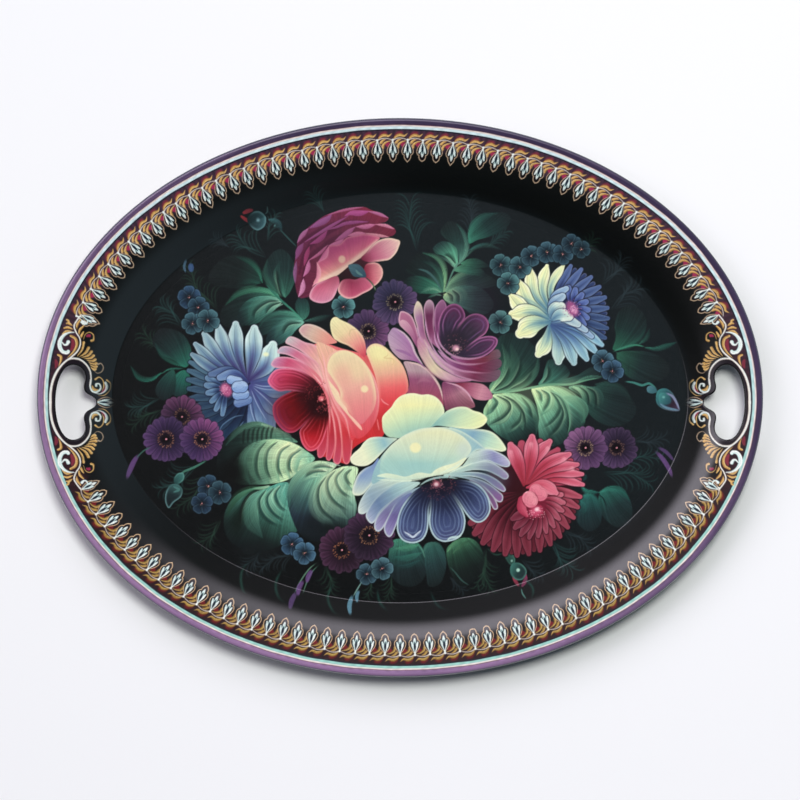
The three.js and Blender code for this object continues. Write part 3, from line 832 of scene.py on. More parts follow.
def mauve_rose():
    """The mauve flower above the middle, its cup turned to the upper right."""
    dark = (44, 36, 52)
    petal([(38, 9.5), (44, 10.5), (52, 10.3), (58, 9), (62, 5.5), (64.3, 1.5), (63.5, -1), (58, -2),
            (52, -1), (48, 2), (43, 6.5)], load((118, 38, 58), (158, 84, 108), (196, 134, 148),
            (168, 106, 128)), (40, 8), (64, 1), streak=0.07)
    petal([(30, 11), (38, 9), (45, 5), (49, 0.5), (52, -5), (51, -7), (44, -8.5), (36, -9),
            (31.5, -8.5), (30.5, -3), (29, 4)], load([(112, 58, 96), (130, 66, 92)], [(186, 138, 148),
                (130, 60, 86)], [(150, 90, 104), (72, 34, 52)]), (32, 10), (40, -8), streak=0.12)
    line([(30, 11), (40, 8.3), (47, 3), (52, -5.5)], 0.6, (208, 160, 176), 0.95)
    petal([(2.5, 24.5), (6, 25.2), (12, 23.5), (18, 20), (23, 14.5), (27, 8), (29.5, 1), (30.5, -6),
            (28, -4), (20, -2), (11, 0), (5, 2), (6.5, 9), (5.8, 14), (4.5, 19)], load([(150, 70, 92)],
            [(146, 74, 100)], [(142, 78, 108)], [(176, 148, 152)], [(180, 150, 156)]), (17, 0),
        (19, 24), streak=0.07)
    stroke(surface, [(12, 10), (16, 12.5), (22, 11)], [0.2, 1.5, 0.2], load(((168, 110, 130), 0.6)),
        spread=3)
    line([(3, 24.6), (12, 23.3), (19, 19.3), (24, 13.3), (28, 6), (30.2, -4)], 0.75, (216, 188, 178), 0.95)
    petal([(-8.5, 42), (-7, 46), (-4.5, 48.5), (-1, 47.5), (3, 44.5), (7, 40), (9.5, 35), (11, 30),
            (14, 25), (17.5, 20.5), (12, 24.5), (6, 26), (1, 26.5), (-3.5, 30), (-7, 35)],
        load([(142, 84, 134), (126, 60, 116)], [(190, 156, 172), (150, 96, 146)], [(192, 172, 178),
                (160, 124, 160)]), (16, 22), (-7, 42), streak=0.08)
    line([(-4.5, 48.2), (2, 45), (7.5, 38.5), (11, 30), (17.5, 20.5)], 0.7, (206, 182, 190), 0.9)
    line([(-4, 33.5), (3, 31.5), (9, 28)], 0.9, (134, 84, 136), 0.6)
    petal([(-1, 53.5), (-0.5, 58), (1, 60), (5, 59), (8.5, 56), (11, 50), (12.5, 44), (14, 38),
            (15, 31), (11, 36), (7, 43), (3, 47), (0, 50)], load([(126, 62, 100)], [(158, 92, 124)],
            [(168, 106, 132)]), (14, 34), (1, 59), rim=(0.3, 0.7, (214, 176, 184), 0.85))
    petal([(0, 52), (1.5, 54), (4.5, 53), (7.5, 49.5), (10, 44), (11.5, 38), (8, 42), (3.5, 47)],
        load((150, 84, 122), (204, 158, 170)), (11, 39), (1, 53), streak=0.04)
    petal([(9.5, 60), (10.5, 64.5), (12.3, 67), (15, 64), (16.3, 58), (17, 50), (18.5, 42), (23, 32),
            (17, 36), (13.5, 42), (11.5, 50), (10, 55)], load([(180, 130, 152)], [(176, 122, 156),
                (104, 44, 82)], [(176, 136, 162), (126, 72, 112)], [(212, 206, 170)]), (18, 36),
        (12.3, 66), rim=(0.3, 0.6, (214, 190, 178), 0.7))
    petal([(16.5, 62), (18, 66.5), (20.5, 68), (23, 66), (24, 61), (23.5, 52), (24.5, 44), (28, 34),
            (22, 38), (19, 44), (17.5, 52), (16.8, 57)], load([(150, 92, 126)], [(112, 50, 84)],
            [(96, 40, 72)], [(170, 146, 156)]), (24, 38), (20.5, 67), rim=(0.3, 0.6, (190, 150, 170),
            0.85))
    petal([(24, 60), (25.5, 64.5), (29, 68), (31.5, 66), (32.5, 61), (30, 54), (28.5, 46), (30, 36),
            (25.5, 42), (23.8, 50)], load([(128, 66, 108)], [(108, 52, 92)], [(150, 100, 132)]),
        (29, 40), (29, 67), rim=(0.3, 0.6, (180, 130, 160), 0.85))
    petal([(66, 19), (69, 19.5), (70, 17), (68.5, 13.5), (65, 11.2), (58, 10.8), (50, 12), (40, 15),
            (30, 20.5), (22, 29), (20, 36), (26, 30), (34, 23), (43, 18.5), (55, 17.2)],
        load([(188, 150, 164)], [(176, 128, 156)], [(110, 46, 72)], [(104, 82, 94)]), (22, 30),
        (69, 16), streak=0.08)
    petal([(64, 26), (68, 27), (70.5, 25), (70, 21.5), (66, 19), (60, 17.2), (50, 17.5), (41, 19),
            (33, 24), (26, 33), (33, 28), (42, 23.6), (52, 22.8)], load([(176, 132, 164)],
            [(120, 62, 104)], [(108, 36, 62)], [(98, 72, 86)]), (27, 32), (70, 23), streak=0.08)
    petal([(60, 29), (65, 33), (68.5, 33.2), (70, 30), (69, 27.5), (64, 26), (58, 24), (50, 23),
            (42, 24), (35, 28.5), (42, 27.5), (50, 26.8)], load([(150, 94, 140)], [(112, 44, 76)],
            [(110, 46, 62)], [(104, 84, 92)]), (36, 28), (69, 30), streak=0.08)
    petal([(12, 40), (15, 42), (18, 37), (20.5, 30), (26, 22), (34, 17), (42, 13.5), (50, 11.8),
            (40, 10.5), (31, 11.5), (24, 15.5), (19, 20.5), (15, 27), (12.5, 33)],
        load([(184, 126, 150)], [(198, 166, 160)], [(214, 198, 164)], [(198, 160, 166)],
            [(176, 116, 146)]), (14, 40), (44, 12), streak=0.05)
    stroke(surface, [(17, 40), (21, 31), (28, 22.5), (37, 17)], [0.3, 1.5, 1.6, 0.3],
        load(((210, 186, 176), 0.75)), spread=3)
    stroke(surface, [(15, 27), (20, 19), (27, 13.3), (36, 10.8), (47, 11)], [0.3, 0.8, 0.8, 0.3],
        load(((122, 58, 92), 0.5)), spread=2.5)
    petal([(26.5, 48), (27, 54), (29.5, 60), (33.5, 64), (38, 65.2), (42, 63.5), (44.5, 60), (45.3, 56),
            (43.5, 52.5), (41.5, 50), (38, 42), (33, 32), (28.5, 38)], load([dark], [(52, 38, 58)],
            [(104, 48, 84)]), (36, 38), (38, 64), rim=(0.4, 0.75, (172, 104, 148), 0.95), lines=[(3.3,
                0.5, (150, 96, 142), 0.85), (6.2, 0.9, (70, 58, 80), 0.6)], streak=0.1)
    petal([(40, 49), (45, 55), (49.5, 57.8), (54, 58.3), (58.5, 56.5), (61.3, 53), (61.6, 49),
            (59.5, 44.5), (55.5, 41.5), (48, 36), (41, 35), (38, 43)], load([dark], [(46, 38, 50)],
            [(110, 60, 100)]), (41, 38), (59, 55), rim=(0.4, 0.75, (166, 100, 140), 0.95), lines=[(3.6,
                0.5, (112, 78, 120), 0.8), (6.8, 0.8, (74, 60, 76), 0.5)], streak=0.1)
    petal([(43, 33), (50, 38.5), (55, 41.5), (61, 42.8), (65.5, 42.2), (67.8, 40), (67, 36), (63, 31.5),
            (57, 28), (49, 26.5), (42, 27), (37, 30)], load([dark], [(58, 38, 60)], [(96, 46, 84)]),
        (42, 31), (67, 39), rim=(0.4, 0.75, (166, 104, 146), 0.95), lines=[(2.6, 0.5, (148, 92, 138),
                0.8), (4.8, 0.8, (66, 52, 72), 0.7)], streak=0.1)
    glow(38.5, 40, 12, 11, (38, 32, 42), 0.92, core=0.3)
    for points, width in [([(26.3, 48), (26.4, 41), (29, 35.5), (34, 30.7), (41, 27.7), (49, 26.9),
                (57, 28.2), (63, 31)], 0.75), ([(24, 48), (24.4, 40), (28, 33), (34, 27), (42, 23.8),
                (50, 23), (58, 24), (65, 26.3)], 0.7), ([(21.5, 44), (22, 37), (26, 30), (32.5, 23.5),
                (41, 19.2), (50, 17.7), (60, 17.2), (67, 18.7)], 0.7), ([(18.5, 39), (21, 31),
                (27, 23.5), (34, 18), (42, 14.3), (50, 12.3), (58, 11), (64, 11)], 0.65), ([(11.5, 50),
                (13.5, 42.5), (17, 37), (20.5, 32)], 0.6), ([(17.3, 54), (18.5, 47), (20.5, 40),
                (24, 33)], 0.6)]:
        line(points, width, (202, 158, 192), 0.85, (176, 122, 142), fade=(0.12, 0.3))
    glow(38.8, 34.2, 3.8, 3.4, (206, 146, 166), 0.95, core=0.3)
    glow(39.6, 33.6, 1.7, 1.5, (240, 204, 196), 0.95, core=0.3)
    stamens(38.8, 35, (4.2, 9.5), 46, [(110, 60, 66), (84, 50, 66), (128, 84, 98)], start=-30, sweep=230)
    stamens(39, 33.5, (2.6, 4.4), 22, [(150, 96, 112), (190, 130, 140)])


def pink_rose():
    """The big pink rose left of the middle: pale back petals, a round dome and a dark red cup on its
    left."""
    petal([(-40, 34), (-15, 26), (-8, 10), (-3, -3), (-8, -12), (-12, -27), (-22, -29), (-33, -36),
            (-36, -46), (-48, -42), (-58, -36), (-54, 0), (-64, 30), (-56, 38)], load([(196, 44, 48)],
            [(206, 62, 62)], [(220, 110, 112)]), (-30, -32), (-45, 36), streak=0.06)
    petal([(-70, 47.5), (-66.5, 50.8), (-61, 50.8), (-55, 48.5), (-50, 45), (-46.5, 41.5), (-44, 38),
            (-56, 37), (-66, 41.5), (-69.5, 45)], load([(222, 140, 128)], [(216, 160, 140)],
            [(206, 176, 156)], [(196, 150, 152)]), (-48, 39), (-68, 49), rim=(0.3, 0.8, (222, 204, 190),
            0.7))
    petal([(-48.5, 50), (-47.5, 54.5), (-44.5, 56), (-41, 54), (-34, 50.5), (-28, 45.5), (-24.8, 40),
            (-23.6, 33.5), (-24.5, 28), (-30, 32), (-36, 36), (-42, 38.5), (-46.5, 42)],
        load([(198, 70, 84)], [(224, 150, 136)], [(228, 206, 158)], [(230, 222, 168)]), (-26, 28),
        (-43, 55), rim=(0.3, 1.0, (240, 228, 180), 0.5))
    line([(-29.5, 47.5), (-34, 47), (-35, 44), (-33.8, 41.5)], 0.4, (204, 176, 134), 0.7)
    petal([(-23.3, 31), (-22.5, 34.5), (-19.5, 37), (-15.5, 37.4), (-11, 35.5), (-7.5, 32.5), (-4, 29),
            (0.5, 24.5), (3.5, 19), (5.5, 12), (5.8, 7), (4.5, 3), (-2, -3), (-8, -9), (-12, -20),
            (-15, -27), (-19, -20), (-15, 0), (-17, 14), (-20.5, 24)], load([(190, 46, 48)],
            [(214, 64, 70)], [(226, 100, 100)], [(226, 168, 140)], [(232, 212, 156)],
            [(236, 230, 168)]), (-6, -14), (-13, 37), rim=(0.3, 1.2, (238, 176, 156), 0.45),
        streak=0.03)
    glow(-13, 30.5, 8.5, 6, (238, 230, 164), 0.6, tilt=-10, core=0.35)
    line([(-9, 33), (-8.4, 29.5), (-11, 27.6), (-5, 26.8), (-4.6, 23.5), (-7.5, 22.4)], 0.35,
        (206, 170, 120), 0.5)
    line([(-13.5, 0), (-11.5, -3), (-7, -5.7)], 0.45, (240, 150, 150), 0.8)
    line([(-16, -14), (-15.2, -19), (-14.3, -23.5)], 0.5, (232, 130, 130), 0.7)
    for points, tint in [([(-79.5, 38), (-78.5, 41), (-76, 42.5), (-72, 41.5), (-66, 38.5), (-60, 37),
                (-55.5, 33.5), (-53, 29), (-52, 22), (-55, 20), (-62, 27), (-70, 33), (-76, 36)],
            [(222, 180, 156), (222, 160, 150), (206, 138, 152), (188, 190, 186)]), ([(-85, 31),
                (-83.5, 34.5), (-80, 35.8), (-75, 35), (-69, 32), (-63, 28.5), (-58, 25), (-54, 20),
                (-51.5, 13), (-56, 13), (-62, 19.5), (-70, 25.5), (-78, 29.5)], [(224, 178, 162),
                (214, 140, 148), (198, 104, 132), (170, 172, 186)]), ([(-89.5, 22.5), (-88.5, 25.5),
                (-85, 28), (-79, 28.3), (-73, 27), (-67, 24.5), (-61, 20), (-56, 15), (-51.5, 8),
                (-49.5, 1), (-54, 7), (-60.5, 13), (-68, 17.5), (-78, 20.3), (-86, 20.6)],
            [(216, 120, 126), (208, 116, 136), (194, 78, 110), (188, 140, 170)]),]:
        petal(points, load(*tint), points[-4], points[1], rim=(0.35, 0.7, (226, 176, 186), 0.7), streak=0.06)
    petal([(-57.5, -38), (-57, -41), (-55.3, -42), (-53, -40.5), (-51, -36), (-50, -28), (-49.5, -16),
            (-52, -20), (-55, -28), (-57, -34)], load((170, 34, 44), (182, 50, 66), (196, 76, 96)),
        (-51, -18), (-55.5, -41.5), rim=(0.3, 0.6, (222, 118, 132), 0.7))
    petal([(-51.5, -41), (-50.5, -43.5), (-48.8, -43.8), (-47, -41), (-45, -34), (-44.6, -26),
            (-46, -14), (-49.3, -3), (-50.5, -18), (-50.5, -32)], load((184, 44, 54), (176, 44, 56),
            (196, 76, 98)), (-48.5, -8), (-49.5, -43), rim=(0.3, 0.6, (230, 130, 136), 0.7))
    petal([(-46.5, -42.5), (-45.5, -45.5), (-43, -46.3), (-41, -44), (-40, -36), (-40.3, -26),
            (-43, -12), (-48.6, 2), (-46.5, -14), (-45, -26), (-45.2, -34)], load((214, 84, 92),
            (184, 48, 58), (190, 74, 100)), (-46, -6), (-43.5, -46), rim=(0.3, 0.6, (236, 150, 148),
            0.75))
    petal([(-40, -42), (-38.8, -45.5), (-36.5, -46.2), (-34.5, -43.5), (-33.5, -38), (-33, -27),
            (-35, -16), (-40, -7), (-48, 5), (-43, -12), (-41, -26), (-40.5, -36)],
        load((222, 104, 108), (196, 52, 58), (192, 70, 92)), (-44, -4), (-36.5, -46), rim=(0.3, 0.6,
            (236, 152, 146), 0.7))
    petal([(-58, 38), (-52, 37), (-46, 34), (-42, 30), (-44, 16), (-42, 0), (-36, -12), (-31, -22),
            (-33, -30), (-38, -20), (-44, -10), (-48, -2), (-51, 6), (-54, 16), (-56, 26)],
        load([(214, 66, 74)], [(226, 122, 122)], [(232, 160, 146)], [(226, 180, 150)]), (-34, -26),
        (-54, 38), streak=0.08)
    petal([(-50.5, 26), (-48.5, 30), (-44, 32.5), (-38, 33), (-33, 31), (-27, 27), (-22, 21),
            (-17.5, 13.5), (-15, 5), (-14.3, -3), (-15.5, -12), (-19, -20), (-24, -26), (-29, -28.5),
            (-33, -26), (-35, -20), (-40, -12), (-45, -2), (-48, 8), (-50.5, 16)], load([(212, 70, 78)],
            [(218, 108, 116)], [(224, 148, 142)], [(226, 188, 152)]), (-27, -27), (-40, 32), rim=(0.5,
            0.9, (240, 176, 166), 0.6))
    petal([(-50, 24), (-47, 29.5), (-42, 32.3), (-36, 32.3), (-30, 29.5), (-24, 23.5), (-19.5, 15),
            (-17, 6), (-16.5, -2), (-18.5, -9), (-22.5, -14.5), (-27, -18.5), (-32, -15), (-38, -6),
            (-41.5, -2), (-41.5, 3), (-43.5, 8), (-48, 15), (-50.3, 19)], load([(218, 110, 118)],
            [(224, 136, 132)], [(228, 168, 150)], [(228, 196, 158)], [(228, 214, 168)]), (-27, -19),
        (-38, 33), streak=0.03, rim=(0.6, 1.6, (236, 216, 170), 0.75))
    glow(-28, 18, 11, 11, (230, 212, 164), 0.45, tilt=50, core=0.1)
    glow(-40, 14, 9, 14, (228, 160, 146), 0.4, core=0.2)
    glow(-24.6, 6, 3.3, 3.2, (240, 222, 172), 0.9, core=0.55)
    petal([(-51.5, 21), (-49.8, 13), (-46, 8), (-42.3, 3), (-41.2, -2), (-37.5, -6.5), (-35.3, -11),
            (-31.5, -15), (-27.3, -19.5), (-26.5, -22.8), (-31, -18.5), (-36, -12.5), (-41, -6.5),
            (-44.8, -1.5), (-47.5, 3.5), (-49.6, 9), (-51.5, 15)], load([(240, 178, 160)],
            [(238, 208, 172)], [(236, 212, 170)]), (-27, -22), (-50, 18), streak=0.04)
    for points, width in [([(-57, 36.5), (-53.5, 29), (-51.8, 20), (-50, 10), (-47, 1), (-43, -7),
                (-38, -14), (-35.5, -24), (-33.6, -37)], 0.7), ([(-60, 33), (-55.5, 25), (-52.5, 14),
                (-50, 3), (-46.5, -6), (-43, -14), (-41.2, -24), (-40.3, -38)], 0.7), ([(-65, 29),
                (-58, 21), (-53, 10), (-50, -1), (-47.4, -10), (-45.3, -22), (-45, -38)], 0.7),
        ([(-64.5, 20.5), (-57.5, 13), (-52.5, 5), (-49.8, -4), (-48.8, -14), (-49, -30)], 0.6)]:
        line(points, width, (244, 190, 184), 0.8, (232, 140, 140), fade=(0.2, 0.25))
    petal([(-69.5, -27), (-68, -32), (-65, -36), (-62, -37.3), (-58, -36), (-54.5, -32), (-52, -26),
            (-50, -18), (-49.5, -6), (-54, -4), (-60, -10), (-66, -18), (-69.5, -22.5)],
        load([(36, 4, 6)], [(104, 6, 10)], [(174, 26, 36)], [(200, 60, 80)]), (-54, -9), (-63, -37),
        rim=(0.4, 0.8, (226, 104, 124), 0.9), lines=[(2.8, 0.45, (224, 92, 104), 0.85), (5.4, 0.5,
                (190, 52, 62), 0.6)])
    petal([(-88.5, -8), (-87.5, -14), (-84, -20), (-79, -24), (-74, -24.3), (-70, -22), (-66, -18),
            (-60, -12), (-55, -2), (-58, 6), (-68, 6.5), (-76, 4), (-83, 0.5), (-87.5, -4)],
        load([(30, 4, 6)], [(72, 4, 8)], [(150, 14, 20)], [(178, 40, 66)], [(158, 66, 112)]), (-60, -2),
        (-87, -14), rim=(0.4, 0.8, (214, 92, 124), 0.85), lines=[(3.0, 0.5, (218, 72, 90), 0.85), (6.2,
                0.6, (176, 30, 42), 0.7), (9.4, 0.7, (130, 12, 20), 0.5)])
    petal([(-91.8, 11), (-90.8, 14.5), (-87.5, 18.5), (-83, 20.3), (-76, 20.3), (-70, 19), (-64, 16),
            (-58, 11.5), (-52, 5), (-58, 2), (-70, 4), (-78, 4.8), (-84, 4.3), (-89, 7)],
        load([(38, 6, 10)], [(104, 20, 34)], [(176, 48, 76)], [(196, 78, 118)]), (-57, 5), (-91, 12),
        rim=(0.4, 0.8, (230, 128, 156), 0.9), lines=[(2.6, 0.45, (220, 96, 128), 0.7), (4.6, 0.5,
                (206, 74, 100), 0.7), (6.6, 0.5, (150, 34, 54), 0.5)])
    glow(-57, -3.5, 10.5, 13.5, (28, 3, 5), 0.95, tilt=10, core=0.35)
    glow(-64, 3, 12, 8, (44, 8, 12), 0.6, tilt=20, core=0.1)
    line([(-60, 13), (-55, 8.5), (-51, 2), (-49.6, -5), (-49.4, -14)], 0.8, (236, 120, 128), 0.85)
    stamens(-57, 1.5, (3.5, 10), 60, [(150, 60, 66), (104, 28, 34), (120, 40, 44)], start=60, sweep=150)
    stamens(-56, -3, (3.0, 8.5), 44, [(176, 80, 84), (120, 40, 46)], start=-110, sweep=100)
    glow(-54.8, -0.8, 2.9, 2.7, (240, 118, 126), 1.0, core=0.4)
    glow(-54.2, -1.4, 1.1, 1.0, (250, 190, 184), 0.8, core=0.2)
    stamens(-54.8, -1, (2.4, 3.6), 14, [(200, 90, 96), (226, 120, 122)])


def white_rose():
    """The big white rose in front: cream top petals, a mint dome, and a dark blue cup opening
    downwards."""
    petal([(-12.5, -17), (-12, -13), (-9, -9.5), (-6, -6.5), (-3.5, -2.5), (0, 0.8), (5, 2.7), (10, 3),
            (15, 2), (20, 2.2), (25, 0.3), (29, -4), (30.8, -9), (30, -13), (27, -18), (20, -21),
            (8, -24), (0, -28), (-4, -27.8), (-8, -27.2), (-11.5, -23.5)], load([(190, 218, 180),
                (150, 192, 176), (130, 180, 166)], [(226, 232, 178), (198, 222, 180), (184, 212, 182)],
            [(238, 236, 176), (236, 234, 170), (228, 232, 176)], [(234, 236, 178), (236, 238, 184),
                (228, 234, 184)]), (9, -24), (8, 4), streak=0.03, rim=(0.4, 1.2, (242, 242, 206), 0.5))
    petal([(30.5, -11), (34, -8.5), (40, -6.5), (46, -6.6), (51, -9), (56, -10.5), (60, -13.5),
            (60.3, -16.5), (57, -20), (51, -22), (44, -21.8), (34, -20.5), (26, -19.5), (22, -20)],
        load([(140, 186, 174)], [(176, 208, 182), (214, 228, 176)], [(200, 222, 182), (236, 238, 170)]),
        (26, -21), (56, -10), streak=0.03, rim=(0.4, 1.2, (244, 244, 200), 0.6))
    petal([(34, -20.5), (44, -21.8), (56, -22), (63, -23.5), (68, -27), (72, -32), (73.8, -36),
            (71, -37.5), (66, -36.8), (60, -36), (55, -36), (48, -30), (40, -24)],
        load([(150, 190, 190)], [(126, 164, 182)], [(182, 214, 190)], [(216, 230, 186)]), (40, -22),
        (72, -35), streak=0.05, rim=(0.4, 1.1, (236, 240, 204), 0.7))
    petal([(-2, -28.5), (-8, -27.8), (-15, -27.2), (-21, -28), (-25, -31), (-28, -35), (-32, -38.5),
            (-34.5, -42), (-33.5, -45.5), (-29, -47.5), (-23, -47.2), (-18, -44), (-13, -39),
            (-6, -32)], load([(196, 214, 190)], [(142, 184, 188)], [(196, 218, 190)], [(230, 234, 196)],
            [(228, 230, 196)]), (-3, -30), (-32, -43), streak=0.03, rim=(0.4, 1.1, (240, 240, 208),
            0.6))
    petal([(-15, -42), (-19, -46.5), (-25, -49.5), (-29.5, -54), (-32, -60), (-33.2, -65.5), (-31, -68),
            (-26, -67.3), (-22, -63), (-18, -58), (-15, -50)], load([(122, 146, 186), (112, 134, 178)],
            [(160, 184, 190), (120, 144, 184)], [(224, 232, 196), (190, 206, 194)]), (-16, -45),
        (-30, -68), streak=0.03, rim=(0.4, 1.0, (236, 240, 208), 0.6))
    for points, tint in [([(46, -44), (50, -38.5), (56, -36.3), (62, -35.8), (68, -37.8), (73.5, -41),
                (76.5, -45), (75.5, -48), (71, -48), (66, -46), (60, -44), (52, -46), (42, -50)],
            [[(196, 216, 190), (176, 204, 190)], [(190, 208, 196), (150, 176, 186)], [(150, 152, 188),
                (110, 112, 158)], [(206, 208, 216), (160, 150, 184)]]), ([(40, -48.5), (50, -45.5),
                (58, -43.8), (64, -45), (70, -48.5), (75, -53), (75, -56), (72, -56.8), (67, -54),
                (60, -51), (50, -50.5), (34, -53.5)], [[(200, 222, 194), (150, 184, 184)],
                [(178, 204, 190), (150, 176, 180)], [(160, 168, 180), (124, 102, 148)],
                [(190, 170, 196), (136, 98, 144)]]), ([(32, -53), (48, -51.5), (58, -52.5), (66, -56),
                (71.5, -60.5), (73.5, -64), (71.5, -65.5), (66, -62.5), (58, -57), (48, -54.8),
                (32, -55)], [[(176, 204, 190)], [(140, 172, 176)], [(122, 116, 150)],
                [(148, 110, 156)]]), ([(36, -54.5), (48, -55), (56, -57), (62, -60), (68, -64.5),
                (71.5, -68), (71, -72), (68, -72.5), (64, -69), (58, -62.5), (48, -57)],
            [[(150, 178, 176)], [(110, 120, 140)], [(120, 94, 136)], [(130, 88, 136)]]), ([(48, -57),
                (56, -60), (62, -65), (66, -70), (68, -75), (67.5, -77.5), (65, -77.5), (62.5, -73),
                (59, -67), (52, -61)], [[(120, 120, 136)], [(104, 76, 110)], [(124, 82, 124)]]),
        ([(8, -57), (-5, -55.5), (-16, -55), (-20, -60.5), (-25, -67), (-28.5, -74), (-29, -79.5),
                (-26, -81), (-22.5, -79), (-19, -74), (-15, -69), (-8, -64), (4, -60)],
            [[(196, 214, 196)], [(166, 196, 190), (200, 216, 196)], [(106, 128, 164), (170, 194, 192)],
                [(216, 224, 206), (206, 216, 206)]]), ([(14, -59), (0, -59), (-10, -64), (-17, -70),
                (-22, -77), (-23.8, -82), (-22, -86), (-19.5, -87.5), (-17, -85.5), (-14, -80),
                (-9, -75), (-3, -71), (5, -66)], [[(178, 206, 196)], [(150, 184, 186)],
                [(88, 112, 152)], [(182, 188, 204)]]), ([(18, -61), (5, -65), (-4, -70), (-10, -75.5),
                (-15, -81), (-17.8, -87), (-17.5, -91.5), (-15, -93.2), (-12, -91), (-9, -86),
                (-4, -79), (2, -73), (12, -66)], [[(160, 190, 190)], [(124, 136, 166)],
                [(108, 88, 138)], [(160, 160, 190)]]), ([(8, -66), (-2, -72), (-7, -80), (-11, -89),
                (-10.5, -94), (-8, -96.8), (-5.5, -95.5), (-3, -90), (0, -82), (5, -74)],
            [[(110, 120, 160)], [(100, 86, 138)], [(150, 144, 182)]]),]:
        root = np.mean([points[0], points[-1]], 0)
        far = max(points, key=lambda q: np.hypot(*(np.array(q) - root)))
        petal(points, load(*tint), root, far, rim=(0.35, 0.6, (206, 222, 212), 0.75), streak=0.07)
    petal([(0, -28), (6, -24.5), (14, -21.5), (24, -20.5), (34, -20.8), (42, -23), (49, -27),
            (55, -31.5), (59, -35.8), (53, -37), (48, -41), (42, -46), (34, -49), (27, -53),
            (14, -55.5), (0, -57), (-10, -56), (-19, -60), (-18.8, -53), (-15, -44), (-9, -36)],
        load([(146, 184, 186), (150, 190, 186), (158, 196, 188)], [(170, 202, 192), (160, 198, 186),
                (150, 188, 190)], [(190, 214, 196), (190, 216, 190), (140, 176, 188)]), (16, -57),
        (24, -20), rim=(0.4, 0.8, (218, 230, 204), 0.6), streak=0.03)
    petal([(-14, -51), (-13, -43), (-8.5, -35.5), (-2, -29.5), (6, -25), (16, -21.8), (26, -21),
            (35, -22.5), (43, -26.5), (48, -31.5), (49.5, -36.5), (46, -41.5), (40, -45), (34, -47),
            (28, -49), (24, -52.2), (14, -53), (4, -54.5), (-5, -53.5), (-13, -54.5)],
        load([(160, 200, 190)], [(164, 202, 188)], [(196, 216, 190)], [(214, 222, 186)],
            [(226, 226, 178)]), (18, -54), (20, -21), streak=0.03, rim=(0.5, 1.5, (220, 230, 204), 0.5))
    glow(11, -48, 22, 6.5, (150, 194, 188), 0.55, core=0.1)
    glow(44, -36, 8, 9, (190, 206, 200), 0.5, core=0.1)
    glow(10.7, -34.8, 4.9, 4.4, (238, 234, 180), 0.95, core=0.6)
    petal([(-16, -54.5), (-10, -52.6), (-3, -53.5), (4, -54.8), (13, -52.1), (21, -52.8), (24.5, -50.2),
            (30, -47.6), (38, -45.3), (46, -41.5), (43, -46.5), (38, -50), (30, -53), (20, -55.2),
            (10, -56.8), (0, -57), (-8, -56)], load([(200, 222, 198)], [(228, 234, 196)]), (16, -57),
        (16, -50), streak=0.03)
    for points in [[(46, -42), (40, -47), (34, -50), (26, -53.5)], [(52, -45), (42, -49), (34, -52),
            (24, -54.8)], [(-18, -56.5), (-6, -57.5), (8, -57.5), (20, -55.5)]]:
        line(points, 0.6, (216, 232, 206), 0.8)
    for points, folds in [([(19, -60), (10, -65), (3, -73), (-1, -81), (-2.3, -89), (-1.5, -94.5),
                (1.5, -99), (6, -101), (11, -101), (16, -98.5), (19, -93), (20, -86), (20.5, -76),
                (24, -64)], 4), ([(22, -62), (20.8, -76), (20, -86), (21.5, -93), (25, -98),
                (30, -100.2), (35, -99.8), (40, -98), (44, -93.5), (45.5, -86), (44, -79), (40, -72),
                (36, -66), (30, -60)], 4), ([(30, -58.5), (38, -57), (46, -57.3), (53, -59.5),
                (58, -63.5), (61.5, -69), (63, -76), (62, -81), (58.5, -85.5), (54, -87), (49.5, -85),
                (45.5, -80.5), (40, -72), (34, -64)], 4),]:
        root = np.mean([points[0], points[-1]], 0)
        far = max(points, key=lambda q: np.hypot(*(np.array(q) - root)))
        rings = [(2.4 + (1.9 + 0.25 * k) * k, 0.45, (146, 170, 196), 0.66 - 0.15 * k) for k in range(folds)]
        petal(points, load([(20, 18, 32)], [(32, 38, 64)], [(46, 56, 90)], [(66, 78, 116)],
                [(60, 62, 98)]), root, far, rim=(0.5, 0.8, (190, 216, 214), 0.95), lines=rings,
            streak=0.1)
    line([(2, -92.5), (6, -95), (9, -96.8), (12, -94.5), (15.5, -91.5)], 0.7, (210, 222, 230), 0.85)
    line([(32, -99.5), (35.5, -97.3), (41, -96.5), (43, -94)], 0.8, (196, 222, 214), 0.85)
    glow(29, -62.5, 16, 8.5, (24, 20, 34), 0.9, core=0.15)
    glow(26, -60, 7, 6, (64, 30, 42), 0.5)
    line([(12, -62.5), (18, -58.2), (25, -55.8), (33, -55.2), (42, -56.6)], 0.7, (174, 206, 198), 0.85)
    stamens(26, -60.5, (4, 11), 70, [(150, 84, 92), (110, 60, 70), (84, 50, 66)], start=190, sweep=160)
    stamens(30, -60, (4, 9), 30, [(120, 66, 66), (84, 50, 66)], start=-60, sweep=110)
    glow(25.3, -60.2, 4.1, 3.6, (200, 112, 124), 0.95, core=0.25)
    glow(25.2, -60.3, 2.1, 1.9, (246, 206, 206), 1.0, core=0.3)
    stamens(25.3, -60.3, (2.6, 4.6), 26, [(226, 150, 156), (190, 104, 112)])


